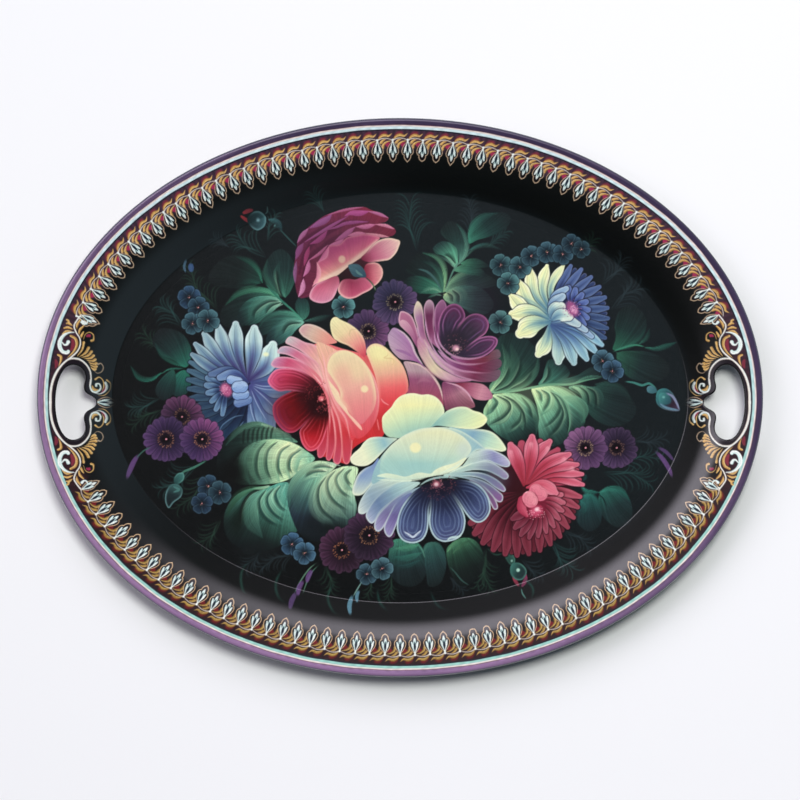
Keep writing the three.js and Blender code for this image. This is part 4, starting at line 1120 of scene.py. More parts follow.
def cream_daisy():
    """The many-petalled flower on the right: cream and mint on its left, deep blue on its right."""
    hub, heart = (104.0, 54.0), (119.5, 61.5)
    glow(119, 58, 23, 27, (30, 38, 66), 0.9, tilt=10, core=0.75)
    outer = [(hub, (119, 92.5), 2.8), (hub, (126.5, 90), 2.8), (hub, (133.5, 84.5), 2.9), (hub,
            (139.5, 77.5), 3.0), (hub, (143.5, 70), 3.0), (hub, (145.3, 62.5), 2.9), (hub, (145.6, 55),
            2.8), (hub, (145, 48), 2.8), (hub, (143.5, 41), 2.7), (hub, (141, 35.5), 2.6)]
    between(outer, 0.96, lambda root, tip, width: ray(root, tip, width, (18, 22, 44), (32, 42, 76),
            (46, 60, 98), bend=0.03))
    for root, tip, width in outer:
        share = min(max((tip[1] - 40) / 50, 0), 1)
        ray(root, tip, width, (16, 20, 44), mixed((30, 44, 78), (42, 56, 100), share),
            mixed((58, 80, 116), (84, 104, 148), share), bend=0.04, seed=int(tip[1]), gleam=0.12)
    inner = [(heart, (116.8, 78), 2.4), (heart, (122, 76.5), 2.5), (heart, (127.2, 72.8), 2.5), (heart,
            (130.8, 67.3), 2.6), (heart, (132.4, 60.8), 2.6), (heart, (131.5, 54.5), 2.5), (heart,
            (129, 49.5), 2.3)]
    for root, tip, width in inner:
        ray(root, tip, width, (26, 28, 62), (52, 64, 120), (92, 112, 166), seed=int(tip[0]), point=0.75,
            gleam=0.15)
    rays = [((105, 62), (113.8, 92.6), 3.0), ((104, 60), (102, 92.6), 3.9), ((103.5, 59), (90, 90.2),
            4.5), ((103.5, 57), (81.5, 81.8), 4.9), ((103.5, 56), (75.6, 71.6), 5.2), ((104, 51),
            (95.4, 28), 5.3), ((105, 50), (110.5, 22.8), 5.0), ((105, 50), (121.8, 22.6), 4.4),
        ((106, 50.5), (130.8, 25.6), 3.6), ((107, 51), (137.5, 30.6), 3.2), ((108, 51.5), (141.5, 36),
            2.9), ((104, 54), (75.6, 58.2), 6.0), ((104, 52.5), (80.6, 43.4), 7.2)]
    turned = {k: math.atan2(tip[1] - hub[1], tip[0] - hub[0]) for k, (_, tip, _) in enumerate(rays)}
    for k, (root, tip, width) in enumerate(rays):
        warm = float(smoothstep(0.78 - 0.66 * math.cos(turned[k] + 0.35)))
        end = mixed((132, 178, 196), (234, 236, 178), warm)
        body = mixed((96, 134, 176), (196, 220, 182), warm)
        base = mixed((58, 78, 124), (84, 128, 148), warm)
        ray(root, tip, width, base, body, end, bend=(0.14 if k < 5 else (-0.1 if k in (11, 12)
                    else 0.1)), edge=(24, 36, 46), seed=k * 3, point=0.32 if k < 5 else 0.5, gleam=0.3
            + 0.2 * warm)
    for points in [[(103, 52), (96, 52.4), (88, 49), (83, 45)], [(104, 50), (100.5, 42), (97, 33)],
        [(103, 55), (95, 59), (83, 58.8)], [(102.5, 57), (93, 66), (80, 71)]]:
        line(points, 0.5, (120, 158, 160), 0.45)
    for root, tip, width, tone in [((104, 60), (116.5, 77), 2.6, 0.25), ((104, 57), (114, 72), 3.4,
            0.35), ((104.3, 55.5), (114, 65), 4.6, 0.8), ((106, 50.5), (134.5, 42), 2.2, 0.2),
        ((105.5, 51), (130.5, 46.5), 2.4, 0.35), ((105, 51.8), (125.5, 50.8), 3.0, 0.55),
        ((104.8, 53.5), (120, 57), 4.4, 0.8)]:
        end = mixed((120, 154, 196), (224, 236, 206), tone)
        ray(root, tip, width, mixed((54, 70, 122), (92, 134, 152), tone), mixed((90, 120, 172),
                (160, 196, 190), tone), end, bend=0.16, edge=(26, 36, 62), seed=int(tip[0]), point=0.72,
            gleam=0.3)
    glow(119.6, 61.6, 4.8, 7.8, (150, 80, 124), 1.0, tilt=32, core=0.5)
    glow(121, 61, 2.8, 4.2, (222, 166, 196), 0.85, tilt=32, core=0.2)
    stamens(119.6, 61.6, (0.5, 6.6), 90, [(204, 130, 168), (130, 66, 116), (232, 176, 200),
            (100, 60, 120)], size=0.28)


def blue_aster():
    """The pale blue flower on the left, half behind the pink rose."""
    hub, heart = (-104.5, 10), (-120.5, 5.5)
    glow(-121, 4, 25, 26, (22, 34, 56), 0.85, tilt=20, core=0.7)
    under = [(hub, (-108, -32), 4.6), (hub, (-116, -32), 4.4), (hub, (-123.5, -29.5), 4.2), (hub,
            (-130.5, -25.5), 4.0), (hub, (-136.5, -20.5), 3.8), (hub, (-141.5, -14.5), 3.5), (hub,
            (-145, -8), 3.3), (hub, (-147, -1), 3.1), (hub, (-148, 6), 3.0), (hub, (-148.5, 12.5), 2.9),
        (hub, (-148, 19), 2.8), (hub, (-146.8, 25), 2.7)]
    for k, (root, tip, width) in enumerate(under):
        lit = min(k / 11, 1) ** 1.6
        ray(root, tip, width, (14, 18, 38), mixed((18, 28, 52), (46, 70, 98), lit), mixed((26, 44, 68),
                (76, 108, 126), lit), bend=0.05, edge=(14, 22, 36), seed=int(-tip[1]) + 40, gleam=0.06)
    for root, tip, width in [((-104, 8), (-98, -30), 7.5), ((-104, 7), (-89, -24), 7.5), ((-103, 8),
            (-80, -13), 7.5), ((-103, 9), (-76, 4), 7.5), ((-103, 11), (-80, 24), 8.0)]:
        ray(root, tip, width, (66, 70, 122), (74, 94, 136), (98, 128, 160), bend=0.06,
            edge=(40, 50, 84), seed=int(-tip[1]) + 30, point=0.6, gleam=0.15)
    for points in [[(-103, 8.5), (-95, 6), (-84, 5)], [(-103, 8), (-94, 0), (-85, -9)], [(-104, 7),
            (-99, -5), (-92, -17)], [(-102.5, 9.5), (-94, 7.8), (-82, 8.5)], [(-104.5, 6), (-103.5, -8),
            (-99, -22)], [(-102.5, 12), (-96, 17), (-87, 22)]]:
        line(points, 0.4, (170, 190, 214), 0.6)
    for points in [[(-107, -12), (-115, -13.5), (-123, -19), (-126, -25)], [(-108, -16), (-111, -20),
            (-112, -26)]]:
        line(points, 0.45, (112, 146, 174), 0.55)
    fan = [((-110.5, 13), (-145.5, 30.5), 2.9), ((-110, 13), (-143.2, 38), 3.2), ((-109.5, 13),
            (-137, 45.5), 3.7), ((-108.5, 13), (-127, 51), 4.2), ((-107, 13), (-114.5, 53), 4.6),
        ((-105.5, 12.5), (-100.8, 50.3), 5.4), ((-104.5, 12), (-86.8, 38.8), 6.0)]
    for k, (root, tip, width) in enumerate(reversed(fan)):
        end = mixed((196, 222, 214), (116, 148, 162), k / 6)
        body = mixed((116, 150, 178), (72, 96, 136), k / 6)
        ray(root, tip, width * 1.12, (58, 50, 98), body, end, bend=-0.12 if k == 0
            else (-0.03 if k == 1 else 0.07), edge=(20, 30, 50), seed=k * 5 + 2, point=0.45, gleam=0.35)
    glow(-93, 30, 2.9, 2.2, (238, 240, 190), 0.85, core=0.3)
    for tip, width in [((-135, 14.5), 2.6), ((-136, 9), 2.6), ((-135, 3), 2.5), ((-132, -3.5), 2.3),
        ((-128.5, -9.5), 2.2), ((-123.5, -13), 2.0)]:
        ray(heart, tip, width, (24, 30, 62), (50, 70, 106), (96, 128, 158), edge=(18, 26, 46),
            seed=int(-tip[0]), point=0.75, gleam=0.15)
    ray((-105, 10), (-133, 16.5), 2.9, (34, 40, 78), (56, 74, 116), (88, 112, 148), bend=-0.2,
        edge=(24, 30, 56), point=0.6, gleam=0.12)
    ray((-105, 10.5), (-127, 14.2), 3.2, (46, 52, 98), (76, 98, 146), (112, 140, 178), bend=-0.2,
        edge=(24, 30, 56), point=0.7, gleam=0.15)
    glow(-120.6, 5.3, 4.9, 6.6, (170, 84, 124), 1.0, tilt=28, core=0.5)
    glow(-121.8, 6.3, 2.4, 3.4, (226, 150, 178), 0.8, tilt=28, core=0.2)
    stamens(-120.6, 5.3, (0.5, 5.9), 60, [(212, 124, 158), (140, 62, 108), (232, 170, 192)], size=0.28)
    for x, y, rx, ry, tilt in [(-109.0, -2.5, 6.4, 3.2, 18), (-110.5, 2.2, 5.8, 3.4, 8),
        (-114.8, 11.8, 5.6, 3.0, -14), (-111.2, 7.4, 5.6, 3.9, 4)]:
        dab(x, y, rx + 0.5, ry + 0.5, (36, 48, 82), 0.8, tilt)
        lift = float(np.clip((y + 9) / 12, 0, 1))
        stroke(surface, [(x - (rx - ry), y - (rx - ry) * math.tan(math.radians(tilt))), (x + (rx - ry),
                    y + (rx - ry) * math.tan(math.radians(tilt)))], ry, load([mixed((72, 98, 146),
                    (170, 194, 222), lift), mixed((56, 74, 122), (120, 152, 198), lift)]), relief=0.05)


def red_dahlia():
    """The red flower on the lower right, pink where it faces up and near black where it turns under."""
    hub = (88, -66)
    glow(88, -70, 35, 36, (52, 11, 19), 0.92, core=0.8)
    lower = [(hub, (48.5, -80), 4.2), (hub, (47.5, -88), 4.4), (hub, (50.5, -95.5), 4.4), (hub,
            (56.5, -102), 4.2), (hub, (64, -107), 4.0), (hub, (72.5, -110), 3.8), (hub, (81, -111),
            3.6), (hub, (89.5, -110), 3.4), (hub, (97.5, -107.5), 3.3), (hub, (105, -103), 3.2), (hub,
            (112, -97.5), 3.1), (hub, (117.5, -91), 3.0), (hub, (121.8, -84), 3.0), (hub,
            (124.8, -76.5), 3.0), (hub, (126.5, -69), 3.0)]

    def shade(tip):
        return float(np.clip((tip[1] + 112) / 45, 0, 1) * np.clip((tip[0] - 40) / 60, 0, 1))

    between(lower, 0.96, lambda root, tip, width: ray(root, tip, width, (34, 7, 13), (66, 16, 27),
            (92, 30, 42), edge=(22, 4, 9), gleam=0.1))
    for k, (root, tip, width) in enumerate(lower):
        lit = shade(tip)
        ray(root, tip, width, (34, 7, 13), mixed((78, 20, 32), (126, 42, 58), lit), mixed((116, 44, 58),
                (172, 80, 96), lit), bend=0.08 if tip[0] > 90 else -0.06, edge=(30, 4, 12), seed=k + 3,
            gleam=0.06)
    upper = [((88, -60), (128.3, -60.5), 2.9), ((88, -60), (127.8, -53), 3.0), ((88, -60), (124.5, -46),
            3.3), ((88, -60), (118.8, -38.5), 3.8), ((88, -60), (104.8, -29), 4.3), ((87, -60),
            (92, -25.5), 4.9), ((86, -61), (76.2, -31), 4.9)]
    between(upper, 0.95, lambda root, tip, width: ray(root, tip, width, (96, 22, 38), (140, 44, 64),
            (170, 70, 90), edge=(44, 8, 18), gleam=0.05))
    for k, (root, tip, width) in enumerate(upper):
        ray(root, tip, width, (150, 44, 58), (178, 62, 82), (208, 104, 124), bend=0.1 if k < 5
            else -0.03, edge=(48, 8, 20), seed=k + 30, point=0.45, gleam=0.22)
    for x, y, tilt in [(76.8, -38, 112), (91, -32.5, 96), (102.6, -35.5, 74), (114, -43, 48),
        (119.5, -49.5, 30)]:
        stroke(surface, [(x, y), (x - 7 * math.cos(math.radians(tilt)), y - 7
                    * math.sin(math.radians(tilt)))], [1.7, 1.3, 0.2], load(((232, 160, 170), 0.6),
                ((210, 100, 120), 0.0)), spread=2.5)
    glow(86, -68, 10, 10, (50, 8, 12), 0.6)
    ring = [((113.5, -67), 3.0, 0.9), ((115, -73), 2.8, 0.85), ((114, -79), 2.6, 0.7), ((111.5, -85),
            2.5, 0.6), ((107.5, -90.5), 2.4, 0.55), ((102, -94.5), 2.3, 0.5), ((96, -97.5), 2.3, 0.4),
        ((89.5, -98.5), 2.5, 0.3), ((83.5, -96.5), 2.8, 0.25), ((79, -91.5), 3.0, 0.2), ((77, -85), 3.0,
            0.15)]
    for tip, width, lit in ring:
        ray((94, -72), tip, width, (100, 22, 38), mixed((74, 20, 34), (160, 58, 78), lit),
            mixed((100, 34, 50), (204, 110, 126), lit), edge=(44, 6, 16), bend=0.06, seed=int(tip[0]),
            point=0.55, gleam=0.12)
    ray((88, -62.5), (110, -66.5), 4.2, (180, 62, 82), (212, 104, 122), (214, 112, 130), bend=0.18,
        edge=(80, 14, 30), point=0.4, gleam=0.2)
    glow(95, -77, 9, 8, (140, 36, 58), 0.7)
    dab(91.5, -74.5, 10.2, 9.2, (110, 26, 46), 0.75, 20)
    stroke(surface, [(84.5, -71), (84.6, -77), (88, -82)], [2.6, 3.2, 1.2], load([(206, 96, 116),
                (156, 46, 70)]), relief=0.05)
    dab(96.3, -66.3, 6.3, 5.2, (110, 24, 44), 0.8, -35)
    stroke(surface, [(94.5, -64.8), (97.6, -67)], 4.9, load([(226, 134, 148), (208, 106, 126)]), relief=0.05)
    dab(90.3, -70.8, 5.9, 5.5, (110, 24, 44), 0.8, -60)
    stroke(surface, [(89.7, -69.8), (90.9, -71.6)], 4.9, load([(232, 148, 158), (214, 120, 136)]),
        relief=0.05)
    glow(94.5, -78.8, 6.4, 5.4, (206, 82, 112), 0.9, tilt=20, core=0.3)
    glow(95.2, -77.6, 2.9, 2.2, (250, 214, 216), 0.95, tilt=20, core=0.2)
    stamens(94.5, -79, (1.5, 6.4), 70, [(236, 140, 160), (190, 60, 90), (250, 190, 196)], start=170,
        sweep=250, size=0.28)


def sweep(points, width, start, end, seed=0):
    """A broad soft stroke of leaf paint from one colour to another, fading out towards its right edge."""
    widths = [width * 0.25, width * 0.85, width, width * 0.15]
    paint = load([(start, 1.0), (start, 0.35)], [(end, 0.9), (end, 0.25)])
    stroke(surface, points, widths, paint, bristle=0.22, seed=seed, spread=1.6, relief=0.03)


def paint_ground():
    """The lacquered ground: near black below, a little greener and lighter to the upper right as a painted
    reflection of the room. It fades up the wall."""
    low, high = np.array((5, 8, 7)) / 255, np.array((19, 26, 28)) / 255
    for canvas, inset in ((floor, None), (wall, border_inset[wall_block])):
        # painted reflection: the ground gets lighter and greener towards the upper right
        near = smoothstep(0.6 + canvas.u / 420 + canvas.v / 320)
        slow = 0.12 * np.sin(canvas.u / 31 + 2 * np.sin(canvas.v / 47)) / 2
        tone = low + (high - low) * np.clip(near + slow, 0, 1)[..., None]
        share = 1.0 if inset is None else smoothstep((inset - 44) / 9)[..., None]
        canvas.colour[:] += (tone - canvas.colour) * share


def feather(root, tip, bend, barbs, length, colour=(34, 58, 56), opacity=0.6, width=0.42):
    """A plume of the fine grass that fills the ground: hair lines that follow its axis, then curl
    outwards."""
    root, tip = np.array(root, float), np.array(tip, float)
    along = tip - root
    ahead = along / np.hypot(*along)
    side = np.array([-ahead[1], ahead[0]])
    axis = smooth_line(np.array([root, root + along * 0.5 + side * bend, tip]), 12)
    for k in range(barbs):
        t = 0.75 * k / max(barbs - 1, 1)
        base = axis[int(t * (len(axis) - 1))]
        reach = length * (1.15 - 0.6 * t) * (0.9 + 0.2 * rng.random())
        for hand in (-1, 1):
            out = side * hand
            points = [base + ahead * reach * f + out * reach * g for f, g in ((0, 0), (0.38, 0.06),
                    (0.72, 0.22), (0.88, 0.5), (0.74, 0.8))]
            line([tuple(p) for p in points], width * (0.8 + 0.5 * rng.random()), colour, opacity,
                fade=(0.3, 0.4), soft=0.6)
    line([tuple(p) for p in axis[:: len(axis) // 4]], width * 1.1, colour, opacity, fade=(0.1, 0.5))


def small_daisy(x, y, radius, petals, light, dark, ring=(196, 140, 100), tilt=0.0, dim=1.0):
    """A small purple daisy with a ring of gold stamens; its petals are lightest towards tilt."""
    glow(x, y, radius * 0.9, radius * 0.9, mixed(dark, (8, 8, 12), 0.5), 0.85, core=0.8)
    for layer, turn in ((0.95, 0.5), (1.0, 0.0)):
        for k in range(petals):
            angle = 2 * math.pi * (k + turn + 0.12 * rng.normal()) / petals
            share = 0.5 + 0.5 * math.cos(angle - math.radians(tilt))
            tone = mixed(dark, light, share * (1.0 if layer == 1.0 else 0.6))
            reach = radius * layer * (0.95 + 0.08 * rng.random())
            start = (x + 0.25 * reach * math.cos(angle), y + 0.25 * reach * math.sin(angle))
            end = (x + 0.9 * reach * math.cos(angle), y + 0.9 * reach * math.sin(angle))
            half = math.pi * reach / petals * 0.74
            shade, rim = mixed(dark, (10, 8, 14), 0.45), mixed(tone, (190, 150, 190), 0.16)
            stroke(surface, [start, end], [half * 0.4, half * 0.9, half + 0.25], load((mixed(dark,
                        (8, 8, 12), 0.6), 0.7)), bristle=0, relief=0)
            stroke(surface, [start, end], [half * 0.3, half * 0.75, half], load([shade], [tone,
                        mixed(tone, shade, 0.5), tone], [rim, tone, rim]), bristle=0.06, seed=k,
                relief=0.04)
    glow(x, y, radius * 0.5, radius * 0.46, (20, 10, 16), 0.9, core=0.25)
    for far, count, size in ((0.3, 26, 0.24), (0.36, 26, 0.3)):
        for k in range(count):
            angle = 2 * math.pi * (k + rng.random()) / count
            reach = radius * far * (1 + 0.06 * rng.normal())
            dab(x + reach * math.cos(angle), y + reach * math.sin(angle), size * 1.6, size,
                mixed((30, 16, 20), ring, dim * (0.5 + 0.4 * rng.random())), 0.9, math.degrees(angle))
    glow(x, y, radius * 0.22, radius * 0.2, (8, 4, 6), 1.0, core=0.5)
    glow(x + 0.2, y + 0.1, 1.0, 0.95, mixed((60, 30, 40), (228, 150, 160), dim), 1.0, core=0.35)


def forget_me_not(x, y, radius, turn, light, dark=(10, 20, 28)):
    """A five-petalled small flower, dark towards its pink and gold eye."""
    light = mixed(light, dark, 0.18)
    for k in range(5):
        angle = math.radians(turn + 72 * k)
        ahead, across = np.array([math.cos(angle), math.sin(angle)]), np.array([-math.sin(angle),
                math.cos(angle)])
        shape = [(0.12, 0.1), (0.4, 0.34), (0.72, 0.47), (0.95, 0.3), (0.99, 0.0), (0.95, -0.3),
            (0.72, -0.47), (0.4, -0.34), (0.12, -0.1)]
        outline = [tuple((x, y) + radius * (f * ahead + g * across)) for f, g in shape]
        shade = mixed(light, dark, 0.3 * (0.5 - 0.5 * math.sin(angle + 0.6)))
        tip = tuple((x, y) + radius * ahead)
        stroke(surface, outline[1:8], 0.45, load((dark, 0.8)), bristle=0, relief=0, steps=3)
        petal(outline, load([mixed(shade, dark, 0.95)], [mixed(shade, dark, 0.75)],
                [mixed(shade, dark, 0.2)], [shade]), (x, y), tip, rim=(0.25, 0.5, mixed(shade,
                    (170, 210, 210), 0.22), 0.6), streak=0.12, seed=k)
    glow(x, y, radius * 0.34, radius * 0.34, dark, 0.85)
    stamens(x, y, (0.7, 1.5), 8, [(150, 96, 84), (120, 84, 80), (176, 140, 104)], size=0.2)
    glow(x, y, 0.6, 0.6, (222, 150, 150), 1.0, core=0.3)


def leaf(points, root, tip, rows, edge=None, ribs=(), gleams=(), streak=0.2, seed=0):
    """A leaf: its blade, light strokes that run in from its edge, and dark ribs with a soft shade along
    them."""
    petal(points, load(*rows), root, tip, streak=streak, seed=seed, rim=edge)
    for k, (path, width, start, end) in enumerate(gleams):
        sweep(path, width, start, mixed(end, (14, 30, 26), 0.15), seed=seed + k)
    for path, width, colour in ribs:
        dark, pale = (8, 20, 18), (214, 232, 186)
        side = [(pale, 0.0), (pale, 0.14), (pale, 0.3), (dark, 0.6), (dark, 0.34), (dark, 0.0)]
        side = [side, [(k[0], k[1] * (0.35 if k[0] == pale else 1.0)) for k in side]]
        stroke(surface, path, [0.6, 2.4, 2.9, 1.6], load(*side), bristle=0.12, spread=2.0,
            fade=(0.08, 0.25), relief=0)
        line(path, width, colour, 0.75)


def leaves():
    """Leaves, back to front. Light falls on them from the upper left; they sink into the ground on the
    far side."""
    # upper left spray
    leaf([(-96, 82), (-98, 90), (-104, 96), (-112, 99), (-122, 97), (-130, 90), (-133, 82), (-128, 78),
            (-118, 76), (-108, 76), (-100, 78)], (-96, 80), (-130, 88), [(30, 60, 52), (20, 29, 28),
            (20, 27, 27)], gleams=[([(-95.5, 80), (-98, 88), (-104, 94.5), (-114, 98)], 2.2,
                (52, 122, 96), (24, 52, 46)), ([(-97, 79.5), (-104, 81), (-112, 79)], 1.6, (38, 84, 70),
                (24, 40, 38))])
    leaf([(-84, 72), (-90, 78), (-94, 86), (-93, 94), (-88, 101), (-82, 103), (-76, 98), (-72, 88),
            (-74, 78), (-79, 70)], (-82, 72), (-84, 103), [(44, 86, 72), (28, 48, 46), (25, 38, 38)],
        gleams=[([(-84, 71), (-90, 78), (-93.6, 86), (-92, 96)], 2.0, (62, 122, 98), (34, 62, 56)),
            ([(-79.5, 70), (-83, 78), (-85.5, 86), (-83, 95)], 2.4, (74, 134, 112), (30, 54, 52))],
        ribs=[([(-82, 69), (-85, 80), (-86, 90)], 0.4, (14, 24, 24))])
    leaf([(-84, 70), (-91, 75.5), (-101, 76.5), (-112, 74), (-120, 67), (-125, 58), (-122, 50),
            (-112, 48), (-104, 54), (-94, 64)], (-84, 70), (-122, 54), [(62, 122, 98), (26, 44, 41),
            (18, 26, 26)], gleams=[([(-84, 69.8), (-92, 74), (-103, 75.3), (-113, 72), (-121, 64.5)],
                2.6, (92, 168, 128), (34, 84, 66))])
    leaf([(-82, 67), (-88, 70), (-97, 70.5), (-105, 68), (-111, 62), (-113, 54), (-108, 50), (-98, 52),
            (-92, 57), (-86, 62)], (-83, 66), (-110, 54), [(128, 180, 152), (74, 128, 112),
            (46, 88, 78), (22, 36, 36)], gleams=[([(-83.5, 67), (-91, 67.5), (-97, 62), (-99, 54)], 2.3,
                (128, 178, 156), (58, 104, 92)), ([(-86, 68.8), (-96, 68.4), (-103, 62), (-105, 53)],
                2.2, (96, 152, 130), (44, 84, 74)), ([(-81.5, 65), (-87, 63), (-91, 58)], 1.5,
                (146, 192, 166), (60, 110, 96))], ribs=[([(-83, 67), (-92, 66), (-100, 60),
                (-101.5, 53)], 0.4, (18, 40, 38)), ([(-82, 66), (-89, 63.5), (-94, 57.5)], 0.4,
                (18, 40, 38))])
    leaf([(-67, 53.5), (-72, 58.5), (-80, 60.3), (-88, 59.3), (-95, 55), (-99, 49), (-97, 43),
            (-88, 46), (-80, 51), (-72, 52)], (-68, 53), (-97, 46), [(80, 146, 122), (44, 82, 74),
            (22, 36, 36)], gleams=[([(-67.5, 54), (-76, 59), (-86, 58.8), (-94, 54.5), (-98, 48.5)],
                2.0, (84, 154, 128), (34, 66, 60))])
    leaf([(-66.5, 52.5), (-75, 54.5), (-84, 52.5), (-91, 46), (-93, 38), (-86, 36), (-78, 40),
            (-72, 47)], (-67, 52), (-90, 40), [(112, 168, 148), (62, 112, 102), (24, 40, 42)],
        gleams=[([(-68, 52), (-77, 53), (-84, 48), (-87, 41)], 2.4, (112, 168, 146), (46, 84, 78)),
            ([(-68, 51), (-74, 49.5), (-77, 44)], 1.4, (130, 184, 160), (60, 104, 94))],
        ribs=[([(-68, 51.7), (-77, 50.5), (-82, 43)], 0.4, (16, 36, 36))])
    leaf([(-67, 54), (-72, 60), (-72.5, 66), (-69, 70), (-64, 67), (-63, 59)], (-67, 54), (-68, 69),
        [(58, 112, 94), (38, 74, 66), (26, 44, 44)])
    sweep([(-66, 53), (-57, 54.5), (-48, 57)], 2.0, (66, 116, 100), (26, 44, 44))
    line([(-67, 53), (-74, 60), (-82, 67), (-89, 74), (-95, 81)], 0.7, (66, 138, 112), 0.95, (40, 92, 78))
    # upper middle spray
    leaf([(30, 73), (32.3, 82), (31.5, 90), (28, 96), (22, 100), (14, 101), (8, 96), (4, 88), (12, 84),
            (20, 80), (26, 76)], (30, 74), (10, 98), [(60, 112, 88), (26, 42, 40), (20, 28, 28)],
        gleams=[([(30.6, 73.5), (31.6, 82), (30.5, 91), (25.5, 97.5), (16, 100.5)], 2.1,
                (160, 208, 146), (54, 112, 92)), ([(30, 76), (28.5, 85), (23, 92), (15, 95)], 1.6,
                (64, 120, 96), (28, 50, 48))])
    leaf([(29, 73.5), (24, 80), (16, 84), (7, 84), (2, 79), (8, 74), (18, 72)], (29, 73.5), (4, 80),
        [(70, 132, 104), (36, 80, 66), (22, 32, 32)])
    line([(29, 74), (24.5, 82), (18.5, 87.5), (11, 89.5)], 0.8, (62, 96, 94), 0.85)
    sweep([(28.5, 73), (24, 75.6), (19, 75.2), (13.5, 72)], 1.3, (140, 190, 152), (48, 90, 78))
    sweep([(28.8, 71), (24.5, 71.7), (19.5, 69.5)], 1.1, (120, 172, 140), (44, 84, 72))
    leaf([(31, 73.5), (34, 79.5), (39, 84.5), (46, 87.5), (55, 87.3), (63, 84), (68, 79), (60, 76),
            (50, 75.5), (40, 74.5)], (31, 73.5), (66, 81), [(110, 166, 126), (36, 60, 56),
            (24, 33, 33)], gleams=[([(31.2, 73.8), (35.5, 80.5), (42, 85.3), (50, 87), (59, 85.6)], 2.0,
                (146, 198, 146), (36, 66, 62))])
    leaf([(30, 70), (34, 74.5), (40, 77.2), (48, 77.8), (56, 76), (62, 71), (65, 64), (60, 58),
            (50, 58), (44, 62), (38, 63.5), (33, 66)], (31, 70), (63, 65), [(150, 196, 146),
            (58, 106, 90), (34, 58, 54), (26, 38, 38)], gleams=[([(38.5, 76.5), (43.5, 73), (44.5, 64)],
                2.8, (96, 150, 120), (46, 88, 78)), ([(34.5, 74.3), (38.8, 71), (38.5, 64.5)], 2.4,
                (126, 178, 134), (60, 112, 94)), ([(30.5, 71.5), (34, 70.5), (35.2, 66.3)], 2.2,
                (196, 222, 158), (90, 150, 116))], ribs=[([(36, 75), (40.8, 71), (40.8, 64.5)], 0.4,
                (20, 44, 40)), ([(32.5, 73), (36.3, 70.5), (36.6, 65.8)], 0.4, (26, 56, 48))])
    leaf([(39, 90), (40.6, 97), (39.5, 103), (36, 107), (29, 108.5), (23, 104), (25, 100), (31, 98),
            (36, 93)], (39, 90), (27, 106), [(104, 166, 134), (78, 140, 114), (32, 54, 52)],
        gleams=[([(38.2, 90), (34, 95), (27.5, 98.5)], 1.4, (134, 184, 156), (44, 84, 74))],
        ribs=[([(38.7, 92.5), (34.8, 97.2), (30, 99.5)], 0.4, (20, 46, 42))])
    leaf([(41, 93), (44.5, 98), (46.9, 104), (46.7, 110), (44.3, 116), (40, 121), (33, 122), (28, 115),
            (33, 109), (39, 104), (41, 98)], (41.5, 93), (38, 121), [(88, 144, 122), (34, 58, 54),
            (24, 34, 34)], gleams=[([(41.5, 93), (45.8, 99.5), (46.6, 107), (44.2, 114.5),
                (39.5, 120.5)], 1.9, (112, 168, 142), (44, 82, 76)), ([(40.5, 97), (41, 105),
                (37, 112)], 1.4, (52, 92, 82), (28, 46, 46))])
    leaf([(48, 107), (47.3, 113), (49.8, 120), (55, 125.3), (63, 128), (72, 128.5), (77, 124),
            (73, 117), (63, 112), (54, 109.5)], (48.3, 108), (75, 124), [(52, 112, 92), (28, 52, 50),
            (24, 34, 35)], gleams=[([(48.6, 107.5), (48.6, 114), (51.5, 120.8), (58, 125.6), (68, 128)],
                2.5, (58, 124, 102), (32, 60, 58))])
    sweep([(46.5, 98), (52, 103.8), (60, 105.6), (70, 103)], 1.6, (66, 110, 94), (30, 50, 50))
    sweep([(47.5, 102), (53, 104.9), (62, 107.6)], 1.1, (52, 104, 96), (30, 56, 56))
    leaf([(37.5, 88.2), (42, 92), (49, 93), (56, 90), (60, 84), (52, 85), (44, 86.5)], (37.5, 88.2),
        (59, 85), [(84, 142, 110), (44, 86, 72), (24, 34, 35)])
    leaf([(42, 93), (48, 96.4), (55, 96), (62, 91), (56, 90), (48, 91.5)], (42, 93), (61, 92),
        [(66, 122, 94), (36, 68, 58), (24, 34, 35)])
    line([(31, 73), (34, 81), (37, 88), (40.5, 93), (45.5, 98), (48, 107)], 0.6, (84, 128, 110), 0.9)
    # left spray
    leaf([(-150, 21), (-157, 26), (-166, 30), (-172, 39), (-166, 48), (-152, 45), (-145, 34),
            (-146, 24)], (-150, 22), (-166, 45), [(38, 98, 82), (26, 48, 46), (21, 28, 29)],
        gleams=[([(-149, 21.5), (-157, 24.5), (-165, 30), (-170, 38)], 2.2, (44, 116, 94),
                (26, 54, 50))])
    leaf([(-149, 19), (-156, 16), (-160, 8), (-156, 1), (-148, 3), (-145, 12)], (-149, 19), (-155, 2),
        [(40, 104, 86), (32, 82, 72), (24, 44, 44)])
    leaf([(-157, 19), (-166, 13), (-170, 4), (-164, -2), (-156, 5)], (-158, 18), (-166, 0),
        [(34, 76, 66), (25, 48, 46), (21, 30, 31)])
    sweep([(-166, 17), (-173, 12.8), (-181, 14), (-187, 22)], 2.0, (52, 138, 114), (28, 66, 58))
    sweep([(-165, 16.8), (-160, 19.5), (-150, 20.2)], 0.9, (58, 140, 116), (44, 110, 92))
